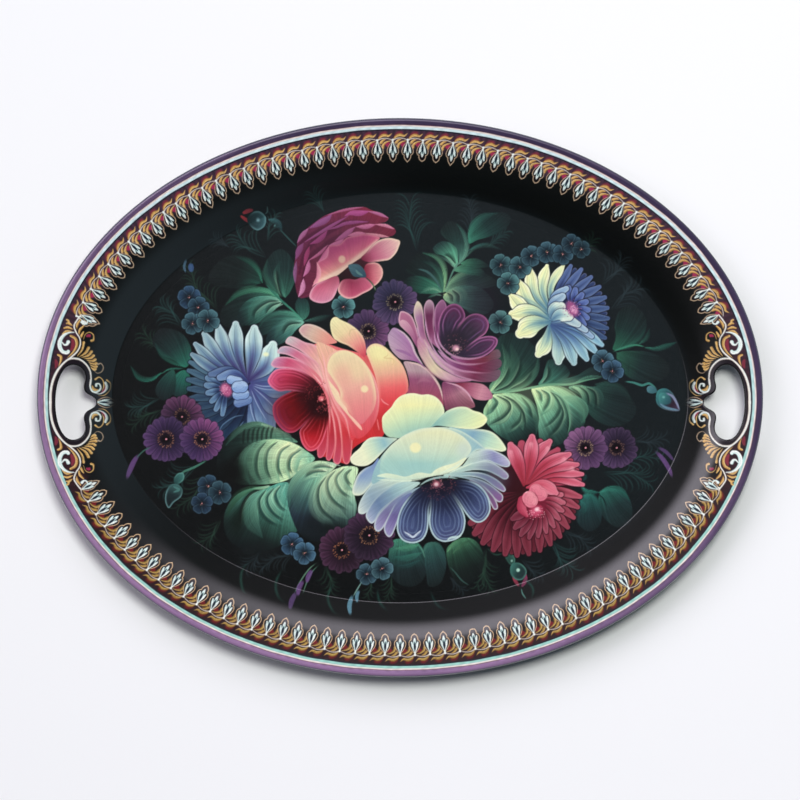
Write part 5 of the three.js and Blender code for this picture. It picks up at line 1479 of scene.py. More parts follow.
    # right spray
    leaf([(148, 33), (150, 42), (149, 51), (153, 61), (162, 64), (170, 57), (171, 48), (167, 41),
            (160, 36)], (149, 33), (163, 63), [(40, 92, 72), (27, 46, 44), (23, 31, 32)],
        gleams=[([(150, 33), (159, 35.6), (167, 41), (170.5, 49)], 2.0, (54, 116, 94), (28, 50, 48)),
            ([(149, 33.5), (152, 41), (151.5, 49)], 2.2, (40, 92, 70), (25, 44, 42))])
    leaf([(151, 31), (162, 32.5), (175, 31), (185, 25), (187, 17), (180, 11.5), (168, 11), (158, 14.5),
            (152, 22)], (151, 30), (185, 18), [(40, 84, 66), (27, 42, 42), (24, 31, 32)],
        gleams=[([(150.5, 31), (156, 26.5), (158.5, 18)], 2.4, (44, 90, 72), (26, 44, 42))])
    sweep([(170.5, 34.6), (178, 33.8), (186, 36), (192, 38.3)], 1.9, (54, 116, 98), (34, 80, 70))
    sweep([(166, 37), (171, 41), (173.5, 48)], 1.6, (48, 104, 86), (26, 46, 44))
    line([(147, 31.5), (154, 34.2), (163, 36.5), (171, 35)], 0.7, (56, 120, 96), 0.95)
    leaf([(117, 7), (124, 8.8), (134, 7.6), (143, 10.4), (152, 8), (160, 1), (164, -8), (160, -16),
            (150, -20), (140, -18), (132, -12), (129, -5), (124, 2)], (120, 6), (160, -10),
        [(96, 148, 118), (36, 66, 58), (27, 42, 42), (24, 34, 35)], gleams=[([(136, 9), (146, 9.5),
                (155, 4.5), (161, -4)], 2.6, (40, 74, 66), (26, 38, 38)), ([(131, 7.2), (138, 3),
                (139.5, -8)], 2.4, (58, 98, 86), (30, 48, 46)), ([(126, 7.8), (132.5, 3), (134, -8)],
                2.3, (96, 148, 118), (38, 66, 60)), ([(120.5, 7.5), (127, 3), (129.5, -5)], 2.2,
                (148, 196, 150), (60, 104, 88))], ribs=[([(124, 8), (130, 3), (131.7, -6)], 0.45,
                (16, 34, 32)), ([(129, 7.5), (135.5, 3), (137, -8)], 0.45, (16, 34, 32)),
            ([(118.5, 7.3), (124, 3.5), (127, -2)], 0.4, (20, 44, 38))])
    leaf([(96, 9), (99, 14), (100.5, 20), (103, 26), (109, 26), (115, 22), (118, 17), (115, 12.5),
            (109, 9.5), (102, 8.5)], (97, 9), (110, 26), [(74, 128, 104), (50, 92, 80), (27, 42, 42)],
        gleams=[([(99, 9.5), (104, 14), (105, 23)], 1.8, (84, 138, 114), (40, 70, 64)), ([(97.5, 9.5),
                (100.6, 14), (101, 20)], 1.0, (112, 166, 138), (50, 90, 80))], ribs=[([(98.5, 9.5),
                (102.6, 15), (102.8, 23)], 0.4, (16, 36, 34))])
    leaf([(104, 9), (113, 12.5), (123, 15.5), (133, 21), (139, 16.5), (128, 11), (116, 9)], (104, 9),
        (137, 18), [(60, 112, 92), (38, 68, 62), (26, 38, 38)])
    leaf([(64, 3), (71, 3.4), (80, 4.5), (89, 8.5), (94.5, 14), (97, 21), (96.5, 30), (91, 38),
            (84, 43.5), (76, 45), (69, 42), (66, 34), (68, 24), (67, 15), (62, 8)], (64, 4), (84, 44),
        [(120, 170, 132), (52, 92, 74), (30, 52, 48), (26, 40, 40)], gleams=[([(66, 3.2), (78, 6),
                (88, 11), (94.5, 19), (96, 28)], 2.6, (124, 176, 134), (46, 80, 70)), ([(66, 5),
                (76, 13), (80, 25), (77, 37)], 3.4, (74, 120, 94), (40, 68, 60)), ([(64.5, 5), (71, 13),
                (74.5, 25), (71, 37)], 2.6, (110, 162, 122), (50, 84, 72)), ([(62.8, 4.5), (67, 9.5),
                (70.5, 16)], 1.5, (190, 216, 158), (90, 146, 114)), ([(63.5, 4.5), (71.5, 12),
                (74.6, 19)], 1.6, (166, 204, 150), (80, 134, 106))], ribs=[([(65, 4), (76, 9), (82, 18),
                (84, 28)], 0.5, (20, 38, 36)), ([(64.5, 5), (72, 12.8), (76.5, 23)], 0.4, (22, 46, 40)),
            ([(76, 5.8), (86, 11), (92.5, 19)], 0.4, (24, 46, 42))])
    leaf([(64, 1.5), (71, 3), (80, 2.7), (87, 0), (92, -5), (95, -12), (96, -20), (94, -27), (88, -31),
            (79, -31.5), (70, -27), (64, -22), (59, -16), (58, -9), (61, -3)], (67, 2), (84, -31),
        [(190, 222, 164), (140, 190, 148), (90, 142, 118), (40, 70, 62), (16, 28, 28)],
        gleams=[([(72, 3), (83, 0.5), (91, -6), (95, -16), (94.5, -25)], 2.8, (150, 200, 152),
                (46, 84, 72)), ([(66, 1.5), (76, -3.5), (83, -12), (85, -22)], 4.2, (176, 214, 162),
                (72, 118, 98)), ([(65, 1), (74, -4), (72, -13), (62, -19)], 4.0, (196, 224, 170),
                (66, 110, 92)), ([(64, 0), (65, -5), (60, -12)], 2.4, (110, 164, 132), (50, 88, 78)),
            ([(83, -9), (80, -18), (70, -25)], 3.0, (104, 156, 126), (48, 82, 72))], ribs=[([(66, 2),
                (75, -2.5), (76.5, -8), (71, -14.5), (60.5, -19.5)], 0.55, (24, 54, 46)), ([(71, 2),
                (80, -3), (86, -11), (87.5, -22)], 0.55, (20, 42, 38)), ([(84.5, -10), (83, -17),
                (76, -23)], 0.45, (32, 66, 56)), ([(84, 1), (90, -6), (93, -16)], 0.35, (40, 80, 66)),
            ([(64.5, 1), (68, -4), (63, -11)], 0.4, (50, 94, 78))])
    leaf([(91.3, 6), (97, 7.8), (104, 8.2), (112, 6.2), (119, 2.2), (125, -4), (128.6, -11),
            (128.2, -18), (124, -26), (115, -31), (105, -34), (98, -31), (96, -22), (96.5, -14),
            (95, -6), (93, 0)], (94, 6), (118, -32), [(216, 234, 174), (150, 200, 154), (94, 146, 120),
            (42, 72, 64), (18, 30, 30)], gleams=[([(97, 7.6), (110, 6), (120, 0), (126.5, -8),
                (128, -17)], 3.0, (186, 220, 164), (72, 124, 100)), ([(112, -0.5), (122, -2.5),
                (127, -9), (126, -18)], 4.0, (112, 166, 132), (60, 104, 88)), ([(101, 5), (109, -1),
                (113, -10), (108, -20)], 4.6, (132, 184, 144), (56, 96, 84)), ([(96, 6.5), (103, 2),
                (103, -5), (98, -12)], 3.6, (204, 228, 170), (84, 140, 114)), ([(92.5, 5.5), (96, 3),
                (98, -4)], 2.0, (222, 236, 176), (120, 176, 140)), ([(112, -8), (110, -20), (102, -28)],
                3.0, (70, 116, 98), (32, 54, 50))], ribs=[([(104, 4.5), (112, 0), (116.5, -8),
                (118, -18), (116, -27)], 0.6, (96, 150, 120)), ([(97.5, 6), (103.5, 2), (103.2, -4.5),
                (98.5, -11)], 0.45, (60, 112, 90)), ([(94, 5.8), (98, 2.5), (99, -3.5)], 0.45,
                (86, 138, 108)), ([(104, 5), (110, -2), (111.5, -9), (106, -17), (98, -22)], 0.45,
                (36, 72, 62)), ([(112, -4), (113.5, -12), (110, -21), (103, -28)], 0.45, (26, 52, 46))])
    line([(64, 3.3), (78, 4.2), (92, 7), (104, 9), (118, 9.2), (129, 12), (142, 14.3)], 0.8,
        (128, 178, 138), 0.95, (84, 134, 108), fade=(0.02, 0.1))
    sweep([(120, 9.3), (130, 13.8), (142, 14.5)], 1.2, (96, 148, 118), (56, 98, 84))


def lower_left_leaves():
    """The big leaves at the lower left, with the dark arch of the rearmost over them."""
    leaf([(-127, -42), (-122, -30), (-115, -22.5), (-107, -18), (-99, -16.8), (-91, -19), (-84, -22.5),
            (-77, -26.5), (-71, -31), (-80, -31), (-90, -31), (-100, -33), (-108, -38), (-114, -46),
            (-120, -54), (-126, -52)], (-72, -30), (-124, -40), [(90, 134, 110), (86, 130, 106),
            (54, 86, 72), (24, 40, 36), (12, 20, 19)], gleams=[([(-88, -20.5), (-100, -18),
                (-112, -22.5), (-121, -33)], 2.4, (110, 158, 130), (44, 78, 68)), ([(-96, -18.5),
                (-89, -22), (-86, -29)], 1.5, (160, 196, 160), (60, 100, 84)), ([(-89, -20.5),
                (-83, -23.5), (-80.5, -29)], 1.3, (148, 188, 154), (50, 88, 76)), ([(-82.5, -23.5),
                (-77.5, -26), (-74.5, -30.5)], 1.1, (120, 164, 138), (44, 78, 70))])
    glow(-112, -44, 16, 9, (6, 9, 7), 0.85, tilt=58, core=0.2)
    for k in range(7):  # dark veins between the pale strokes of the arch
        x = -91 - 3.2 * k
        line([(x + 3.5, -19.6 - 0.05 * k * k), (x + 1.8, -24), (x + 1.2, -29.5 - 0.6 * k)], 0.8,
            (10, 17, 14), 0.55, soft=0.6)
    leaf([(-120, -54), (-114, -43), (-107, -34.5), (-100, -30.8), (-91, -29), (-82, -29.5), (-73, -32),
            (-65, -37), (-59, -42.5), (-66, -48), (-73, -54), (-80, -58), (-90, -60), (-102, -60.5),
            (-112, -60)], (-62, -44), (-118, -54), [(130, 184, 152), (214, 232, 180), (184, 216, 168),
            (92, 134, 110), (30, 48, 40), (8, 13, 10)], gleams=[([(-101, -31.5), (-108, -40),
                (-108.5, -52), (-104, -60)], 3.4, (96, 142, 116), (50, 84, 70)), ([(-94, -30),
                (-101, -38), (-102, -50), (-98, -60)], 3.6, (124, 172, 136), (72, 118, 96)),
            ([(-87, -29.5), (-94, -37), (-95.5, -49), (-91, -59.5)], 3.6, (164, 204, 152),
                (90, 140, 114)), ([(-77.5, -31.5), (-86, -37), (-88, -48), (-84, -58.5)], 3.8,
                (226, 234, 174), (112, 166, 134)), ([(-70.5, -34), (-78, -39), (-80, -48),
                (-76.5, -56)], 3.4, (218, 230, 174), (108, 164, 134)), ([(-64, -38.5), (-71, -42),
                (-73, -49), (-71, -53)], 2.6, (150, 196, 160), (90, 148, 124))], ribs=[([(-84, -30),
                (-91.3, -37), (-92.4, -48), (-88.5, -59)], 0.6, (36, 70, 56)), ([(-75, -32.5),
                (-82.5, -38), (-84.2, -48), (-80.5, -57.5)], 0.6, (48, 92, 76)), ([(-68, -36),
                (-75, -41), (-76.5, -48), (-74, -54)], 0.55, (44, 92, 80)), ([(-92, -30), (-98, -38),
                (-99, -50), (-95, -60)], 0.5, (40, 70, 56))])
    glow(-118, -52, 15, 13, (5, 7, 5), 0.9, core=0.15)
    leaf([(-90, -61.5), (-97, -62), (-104, -63.3), (-110, -65.5), (-116, -70), (-121, -78),
            (-122.5, -87), (-120, -97), (-112, -104), (-100, -107), (-86, -104), (-76, -97), (-70, -90),
            (-74, -82), (-77.5, -72), (-77, -60), (-83, -59)], (-84, -61), (-106, -106),
        [(90, 160, 140), (88, 148, 128), (46, 84, 72), (22, 38, 34), (12, 20, 20)],
        gleams=[([(-92, -62.5), (-105, -63.8), (-115, -70.5), (-120.5, -82)], 2.8, (82, 138, 98),
                (26, 54, 38)), ([(-94, -65), (-102, -74), (-103, -86), (-96, -97)], 5.2,
                (126, 184, 152), (44, 78, 70)), ([(-89, -63.5), (-95.5, -72), (-92, -81), (-82, -88)],
                3.2, (150, 206, 170), (60, 116, 102)), ([(-84, -61.5), (-90, -69), (-86.5, -77),
                (-78, -82)], 2.6, (186, 224, 184), (72, 136, 118)), ([(-79.5, -60.5), (-83, -67),
                (-80.5, -73), (-77.5, -76)], 1.8, (140, 200, 172), (62, 128, 112))], ribs=[([(-92, -63),
                (-97.5, -72), (-94, -82), (-83, -90)], 0.6, (20, 56, 52)), ([(-86.5, -62), (-92, -70),
                (-88.6, -79), (-79, -86)], 0.55, (20, 62, 58)), ([(-82, -60.5), (-86, -67), (-83, -75),
                (-77.5, -79)], 0.5, (26, 72, 68)), ([(-92, -62), (-104, -67), (-110, -77), (-111, -91)],
                0.9, (10, 18, 14))])
    line([(-89.5, -61), (-96, -62.8), (-103, -63.2)], 0.9, (170, 206, 170), 0.9, (90, 140, 108))
    glow(-113, -86, 7, 16, (8, 18, 12), 0.75, tilt=-8)
    glow(-98, -106, 26, 11, (14, 20, 20), 0.8, core=0.1)
    leaf([(-44, -47), (-52, -44.2), (-60, -44.5), (-68, -49), (-75, -56), (-78, -64), (-77.8, -74),
            (-75, -84), (-70, -94), (-60, -100), (-50, -96), (-54, -84), (-58, -74), (-57, -64),
            (-52, -55)], (-52, -46), (-64, -98), [(186, 214, 172), (116, 168, 140), (58, 92, 88),
            (30, 42, 52), (12, 18, 20)], gleams=[([(-50, -47), (-62, -47), (-72, -54), (-77, -64),
                (-77, -76)], 3.4, (176, 214, 172), (50, 96, 86)), ([(-56, -54), (-66, -57), (-72, -66),
                (-71.5, -80)], 3.4, (112, 164, 140), (40, 62, 66)), ([(-50.5, -50.5), (-58, -50),
                (-66, -53.5)], 1.4, (226, 236, 196), (130, 180, 150)), ([(-46, -48), (-53, -46.5),
                (-60, -47.5)], 1.2, (232, 238, 204), (140, 190, 156)), ([(-41.5, -47.3), (-46, -45.8),
                (-51, -45.3)], 0.9, (210, 224, 206), (150, 190, 164)), ([(-56, -54.5), (-63, -54.8),
                (-70, -59)], 1.3, (170, 208, 170), (90, 140, 120))], ribs=[([(-50.5, -51.7), (-59, -52),
                (-67, -56)], 0.4, (50, 94, 82)), ([(-46, -49.3), (-54, -48.3), (-62, -50)], 0.4,
                (70, 118, 100))])
    glow(-60, -88, 12, 14, (16, 22, 25), 0.85, tilt=10, core=0.1)
    leaf([(-29, -49.5), (-36, -47.5), (-43, -49), (-50, -53), (-56, -60), (-60, -68), (-60, -76),
            (-57, -84), (-52, -91), (-45, -94), (-38, -91), (-32, -84), (-30, -76), (-31.5, -68),
            (-32, -60)], (-38, -48), (-48, -94), [(196, 224, 178), (186, 216, 172), (122, 164, 142),
            (52, 76, 72), (14, 22, 24)], gleams=[([(-52, -55), (-58.5, -66), (-57, -79), (-46, -89)],
                5.0, (176, 214, 172), (70, 102, 94)), ([(-46, -51), (-53, -61), (-50, -74), (-37, -84)],
                4.6, (216, 234, 184), (92, 132, 116)), ([(-40, -48.8), (-47, -57), (-44, -67),
                (-33, -75)], 3.8, (216, 232, 180), (84, 126, 110)), ([(-35, -48.5), (-40.5, -54),
                (-38, -61), (-32.5, -65)], 2.8, (170, 208, 168), (76, 120, 106))],
        ribs=[([(-43.5, -49.5), (-50, -58.5), (-46.8, -70), (-34.5, -79.5)], 0.55, (42, 76, 66)),
            ([(-38, -48.7), (-43.8, -56), (-40.8, -64), (-33, -70)], 0.5, (52, 92, 78)), ([(-50, -53.5),
                (-56.3, -64), (-54, -77), (-41, -87.5)], 0.5, (40, 68, 62)), ([(-33, -49.5), (-37, -54),
                (-35.3, -58.5), (-32.5, -61)], 0.4, (56, 100, 84))])
    glow(-47, -92, 15, 9, (12, 18, 18), 0.85, core=0.1)


def lower_leaves():
    """Dark leaves under the white rose and the two teal ones at the lower right."""
    leaf([(-5, -99), (-8, -110), (-7, -122), (0, -130), (10, -131), (17, -125), (19, -114), (16, -105),
            (9, -99)], (2, -99), (6, -131), [(62, 124, 100), (36, 72, 66), (24, 36, 37), (18, 26, 26)],
        gleams=[([(-3, -105), (5, -104.5), (13, -102.5)], 2.4, (64, 124, 98), (92, 170, 128)),
            ([(-5, -111), (5, -111.5), (15, -108)], 2.2, (36, 80, 72), (64, 132, 112)), ([(-5, -116),
                (5, -117), (14, -113)], 1.6, (28, 52, 52), (40, 84, 80))])
    leaf([(16, -106), (19, -101), (26, -101), (31, -107), (32, -118), (28, -129), (20, -131),
            (18, -120)], (20, -102), (26, -130), [(48, 92, 82), (32, 54, 54), (20, 28, 28)],
        gleams=[([(16.5, -107), (19.5, -102.3), (26, -102.2), (30.5, -108)], 1.7, (66, 118, 100),
                (34, 62, 60))])
    leaf([(32, -107), (36, -101), (43, -97.5), (51, -98.5), (57, -106), (58, -117), (52, -127),
            (42, -131), (35, -121)], (38, -99), (50, -129), [(72, 126, 92), (32, 58, 46), (18, 28, 25),
            (14, 20, 19)], gleams=[([(33, -107), (38, -101), (45, -98.3)], 1.5, (104, 158, 112),
                (60, 104, 78)), ([(37, -108), (43, -102.5), (50, -98.8)], 1.1, (70, 112, 80),
                (44, 78, 58))])
    line([(12.5, -102), (15.5, -106), (17.5, -112)], 0.5, (84, 136, 116), 0.7)
    line([(34, -117), (38, -121), (43, -127), (49, -131)], 0.5, (66, 104, 96), 0.6)
    # lower right leaves
    leaf([(139, -66), (147, -63), (156, -66), (161, -75), (160, -86), (151, -90), (142, -84),
            (138, -75)], (141, -65), (154, -89), [(40, 96, 84), (28, 48, 48), (25, 35, 36)],
        gleams=[([(138.5, -66), (145, -63.3), (153, -64.5), (159.5, -71.5)], 2.3, (56, 134, 114),
                (32, 84, 76))])
    leaf([(124, -71), (129, -67.3), (135, -68.5), (139.5, -76), (139, -88), (131, -93), (124, -88),
            (121, -79)], (129, -68), (131, -92), [(40, 96, 88), (28, 50, 51), (24, 34, 36)],
        gleams=[([(124, -70.5), (129.5, -67.6), (135.5, -70), (139, -78)], 1.6, (50, 122, 108),
                (28, 60, 58)), ([(125.5, -72), (128, -76), (126, -82)], 1.8, (44, 104, 96),
                (26, 50, 50))])
    sweep([(125.5, -61.5), (130, -65.6), (138, -66)], 2.0, (58, 150, 128), (38, 104, 92))
    sweep([(126, -52), (128.5, -55), (126.5, -58.5)], 1.4, (40, 84, 82), (28, 54, 54))
    line([(136, -66), (141, -70), (144, -77)], 0.4, (14, 26, 27), 0.8)


def buds():
    """Four closed buds on thin stems at the edge of the bouquet."""
    line([(-71, 104), (-78, 111), (-84.5, 118)], 0.5, (44, 74, 72), 0.9)
    sweep([(-91, 123.5), (-86, 122), (-82, 116)], 2.4, (62, 108, 110), (34, 60, 64))
    glow(-87, 119.3, 1.6, 1.1, (100, 150, 146), 0.7, tilt=60)
    line([(-111, 126.3), (-107, 123.5), (-102.5, 120.8)], 1.1, (196, 62, 66), 0.95, (120, 36, 44))
    line([(-109.5, 127.2), (-105, 129.2), (-101, 130)], 1.3, (176, 52, 62), 0.95, (110, 40, 50))
    petal([(-106, 124), (-102, 128.5), (-97, 129), (-93, 125), (-94, 119), (-99, 116), (-104, 119)],
        load((22, 36, 38), (36, 58, 62), (52, 86, 92)), (-106, 124), (-94, 123), rim=(0.5, 0.8,
            (92, 132, 134), 0.7))
    glow(-98.6, 123.4, 2.0, 2.2, (112, 150, 156), 0.9, core=0.2)
    line([(-94, 127), (-92, 129), (-92, 133)], 0.5, (70, 100, 100), 0.7)
    line([(-133, -43), (-142, -48), (-150, -51.5), (-156, -56)], 0.8, (66, 116, 98), 0.9)
    petal([(-157, -56), (-154, -52.5), (-150.3, -52.5), (-150, -56.5), (-153, -59.5), (-156.5, -59.5)],
        load((34, 66, 64), (60, 112, 104)), (-157, -58), (-150, -53), rim=(0.3, 0.6, (96, 146, 136),
            0.6))
    petal([(-160, -61), (-163, -67), (-163, -73), (-160.5, -77), (-157, -73), (-152, -69),
            (-151, -63.5), (-155, -60)], load((60, 100, 96), (24, 38, 40), (16, 24, 26)), (-155, -60),
        (-160, -76), rim=(0.5, 0.7, (96, 136, 136), 0.8))
    line([(-158, -61.5), (-153.5, -64), (-158, -66)], 0.8, (72, 120, 114), 0.8)
    line([(155, 11.3), (162, 10.4), (168, 8.6), (173, 9.8), (177, 7), (179, 4.5)], 0.8, (62, 122, 112), 0.95)
    petal([(171.5, 7), (174, 8.3), (177, 7), (178.5, 4), (175, 2.8), (171.8, 4)], load((50, 90, 96),
            (74, 116, 124)), (178, 4), (172, 7))
    petal([(178.2, 3.5), (181, 6), (185, 6.2), (189, 3.4), (192, -2), (194.3, -8.8), (188, -9.3),
            (182, -7.5), (178, -3.5)], load((58, 120, 118), (38, 74, 82), (44, 30, 42), (70, 60, 84)),
        (178, 2), (194, -9), rim=(0.4, 0.7, (104, 140, 146), 0.5))
    petal([(180, 2.5), (184, 3.4), (187.5, 0.5), (188, -3.5), (184, -5), (180, -3.5)],
        load((64, 128, 124), (38, 70, 80)), (180, 1), (188, -4))
    glow(183, 0.3, 1.7, 1.5, (120, 182, 172), 0.8)
    line([(184, 3.5), (189, 1), (192, -3.5), (194, -8.8)], 0.8, (130, 136, 164), 0.9)
    line([(179.5, -3.5), (185, -7), (194, -8.9)], 0.8, (100, 136, 154), 0.9)
    line([(60, -104), (66, -109), (73, -108)], 0.5, (36, 66, 54), 0.8)
    petal([(72.5, -109), (75, -107.5), (79, -109.5), (80, -114), (77.5, -116.5), (74.5, -114)],
        load((26, 48, 42), (48, 88, 78)), (73, -114), (79, -110), rim=(0.4, 0.6, (70, 116, 100), 0.6))
    glow(77.6, -113.4, 1.3, 1.5, (160, 204, 184), 0.85)
    line([(78.2, -122), (80, -127), (83, -131.5)], 1.2, (168, 66, 80), 0.95, (110, 40, 60))
    line([(86.8, -121), (87, -127), (83.8, -132)], 1.3, (150, 62, 92), 0.95, (96, 38, 66))
    petal([(76.5, -118), (78.5, -115), (83, -114.8), (87, -118), (88, -122), (85, -126.5),
            (80.5, -126.5), (77, -123)], load((58, 108, 98), (30, 54, 52), (30, 40, 44)), (77, -118),
        (88, -124), rim=(0.5, 0.7, (84, 136, 122), 0.7))
    glow(82, -119.8, 1.9, 1.9, (180, 224, 204), 0.95, core=0.3)
    line([(84, -132), (85, -136), (87.5, -139.5)], 0.5, (80, 130, 120), 0.8)
    purple, dusk, pale = (104, 72, 124), (84, 62, 104), (96, 142, 160)
    for points, width, colour in [([(-180, -38), (-184.5, -44), (-188, -52), (-189.5, -58)], 1.7,
            purple), ([(-172, -34), (-178, -37), (-184, -43)], 0.5, (60, 100, 88)), ([(-56, -113.5),
                (-63, -119), (-70, -129), (-74, -138)], 0.5, (96, 136, 112)), ([(-55, -115),
                (-61, -121), (-65, -129), (-68, -138)], 0.45, (80, 120, 98)), ([(-60.5, -118.5),
                (-63.5, -124), (-65, -129.5)], 1.6, purple), ([(-66.5, -126), (-70, -132),
                (-71, -138.5)], 1.6, purple), ([(-71.5, -134), (-75, -141), (-76, -147.5)], 1.7, dusk),
        ([(-26, -127), (-29, -132), (-33, -139)], 0.5, (120, 160, 150)), ([(-28, -133), (-30, -138),
                (-29.5, -143)], 1.2, pale), ([(-32.5, -136), (-35, -144), (-34, -151.5)], 1.5, pale),
        ([(176, -36), (182, -42), (187, -50), (189, -57)], 1.5, purple), ([(178, -34), (185, -38),
                (191, -45)], 1.2, dusk), ([(-148, 97), (-149.8, 91), (-148.5, 86)], 0.9,
            (70, 100, 120)), ([(-145.5, 94), (-145, 89), (-145.2, 86.5)], 1.8, (60, 88, 130))]:
        line(points, width, colour, 0.85, fade=(0.25, 0.2))
    for points, width, colour in [([(-104, -112), (-110, -122), (-108, -134), (-100, -140)], 0.9,
            (36, 78, 66)), ([(-80, -116), (-86, -128), (-84, -138), (-76, -144)], 0.9, (34, 76, 66)),
        ([(-44, -126), (-50, -138), (-46, -148), (-38, -152)], 0.9, (34, 74, 64)), ([(-16, -130),
                (-14, -142), (-6, -150)], 0.9, (34, 74, 66)), ([(20, -132), (26, -144), (36, -148)],
            0.8, (30, 62, 58)), ([(84, -124), (92, -132), (90, -142)], 0.7, (34, 84, 74))]:
        line(points, width, colour, 0.6, fade=(0.35, 0.45), soft=1.2)


def grasses():
    """Plumes of fine grass round the bouquet."""
    teal, moss, smoke = (36, 64, 62), (34, 58, 46), (38, 50, 54)
    plumes = [((12, 101), (9, 139), 4, 9, 19, teal), ((48, 112), (47, 140), -2, 7, 12, smoke),
        ((-52, 128), (-60, 141), 0, 4, 13, teal), ((-92, 97), (-112, 116), 5, 7, 17, teal), ((-126, 60),
            (-146, 98), 6, 10, 13, moss), ((-150, 48), (-168, 62), -4, 7, 15, teal), ((-158, 32),
            (-178, 48), 4, 6, 14, moss), ((-166, 0), (-188, -6), 3, 7, 14, teal), ((-164, -8),
            (-186, -22), -3, 6, 12, moss), ((-140, -46), (-172, -62), 6, 9, 15, teal), ((-134, -52),
            (-160, -78), 5, 8, 13, moss), ((-124, -84), (-140, -100), 4, 6, 13, moss), ((-94, -100),
            (-108, -116), 3, 6, 14, smoke), ((-72, -108), (-98, -122), -4, 8, 13, smoke), ((-52, -116),
            (-50, -136), 3, 5, 11, moss), ((-6, -122), (-10, -140), 2, 5, 10, moss), ((58, -108),
            (66, -136), -4, 7, 12, moss), ((60, -104), (50, -134), 4, 6, 11, moss), ((104, -98),
            (122, -118), -4, 8, 16, teal), ((112, -92), (132, -108), 4, 6, 13, smoke), ((140, -52),
            (176, -64), 6, 9, 16, teal), ((152, -46), (184, -44), 4, 6, 13, teal), ((160, -30),
            (184, -26), -3, 6, 12, smoke), ((146, 60), (168, 74), 5, 8, 17, smoke), ((140, 78),
            (152, 98), -4, 7, 14, smoke), ((122, 96), (134, 110), 0, 5, 12, moss), ((60, 104),
            (74, 116), 0, 5, 11, teal), ((-20, 108), (-22, 128), 3, 5, 11, smoke), ((-92, 108),
            (-84, 128), 3, 5, 11, teal), ((156, 26), (176, 20), 3, 6, 12, smoke), ((-118, 104),
            (-128, 110), 0, 4, 10, smoke), ((34, -124), (44, -134), 0, 4, 9, smoke), ((84, -112),
            (100, -122), -3, 5, 12, smoke), ((-20, -124), (-24, -138), 2, 4, 8, moss)]
    for root, tip, bend, barbs, length, colour in plumes:
        feather(root, tip, bend, barbs, length, colour)


def small_flowers():
    """Purple daisies and forget-me-nots that fill the gaps."""
    for x, y, radius, petals, light, dark, ring, tilt, dim in [(-151.5, -13.5, 14.5, 13, (92, 50, 80),
            (40, 28, 46), (176, 130, 96), 60, 0.8), (-162.5, -29, 15.5, 15, (72, 48, 88), (42, 30, 58),
            (190, 132, 100), 200, 0.95), (-137.5, -29, 14.8, 15, (120, 64, 108), (58, 40, 78),
            (204, 138, 104), 45, 1.0), (-22, 46, 14.5, 14, (104, 64, 100), (62, 46, 76),
            (190, 168, 130), -40, 0.9), (-3.5, 66.3, 15, 15, (84, 62, 96), (48, 46, 72),
            (184, 176, 140), -50, 0.9), (-40.5, -106, 15.5, 15, (60, 32, 52), (36, 20, 32),
            (200, 128, 84), 150, 1.0), (-21.5, -95.8, 17, 15, (62, 36, 60), (34, 22, 36),
            (210, 150, 100), 60, 1.0), (150.3, -35, 14, 14, (70, 50, 82), (42, 32, 52), (170, 130, 110),
            230, 0.8), (128.7, -35, 14.5, 13, (124, 82, 118), (78, 52, 86), (206, 176, 140), 150, 1.0)]:
        small_daisy(x, y, radius, petals, light, dark, ring, tilt, dim)
    for x, y, radius, turn, tone in [(-146.3, 69.5, 8.2, 20, (58, 90, 122)), (-140, 62.5, 7.8, 75,
            (58, 92, 112)), (-144, 51.5, 7.8, 40, (78, 120, 132)), (-133.3, 53.5, 8.2, 55,
            (82, 126, 134)), (-39.3, 63, 8.3, 90, (106, 168, 164)), (70, 92, 7.8, 100, (76, 120, 122)),
        (83.3, 90.6, 8, 55, (88, 136, 142)), (91, 98.2, 7.4, 80, (74, 112, 124)), (102.3, 100.8, 7.6,
            30, (74, 112, 126)), (113, 99.5, 7.4, 65, (66, 102, 118)), (119, 106.8, 7, 20,
            (54, 84, 98)), (126, 103, 6.4, 50, (46, 74, 84)), (75.2, 79.2, 8, 105, (98, 152, 150)),
        (69.6, 52.3, 8.3, 85, (104, 158, 152)), (140.8, 25.3, 8, 95, (88, 130, 148)), (147.5, 18.4, 8,
            60, (76, 112, 140)), (-133, -61.5, 8, 75, (54, 82, 104)), (-125, -66, 8.3, 35,
            (60, 92, 104)), (-137.5, -73.5, 7.6, 90, (50, 74, 98)), (-75, -101.8, 8.2, 80,
            (76, 116, 150)), (-66.3, -108, 8, 50, (88, 130, 158)), (-23, -122.6, 7.6, 110,
            (76, 112, 126)), (-12.5, -118.8, 8, 75, (92, 134, 142))]:
        forget_me_not(x, y, radius, turn, tone)


def lit_leaves():
    """The pale light that lies over the biggest leaves at the lower left and at the right."""
    for x, y, rx, ry, colour in [(-84, -38, 20, 9, (206, 222, 188)), (-46, -58, 12, 14,
            (206, 226, 190)), (86, 2, 14, 14, (200, 222, 166)), (118, 6, 14, 12, (204, 226, 174))]:
        glaze(x, y, rx, ry, colour, 0.24)


def glaze(x, y, rx, ry, colour, opacity, tilt=0.0):
    """A thin transparent layer that deepens what lies under it."""
    glow(x, y, rx, ry, colour, opacity, tilt=tilt, core=0.25)


def glazed_peony():
    peony()
    glaze(-40, 104, 40, 32, (62, 44, 52), 0.26)


def glazed_white_rose():
    white_rose()
    glaze(29, -70, 28, 14, (16, 18, 36), 0.4)
    glaze(-12, -72, 20, 17, (120, 142, 160), 0.45, tilt=-0.6)
    glaze(64, -56, 17, 15, (92, 118, 136), 0.42, tilt=0.5)


def glazed_pink_rose():
    pink_rose()
    glaze(-74, -8, 26, 24, (46, 0, 4), 0.5)


def glazed_mauve_rose():
    mauve_rose()
    glaze(48, 66, 30, 26, (52, 26, 50), 0.28)


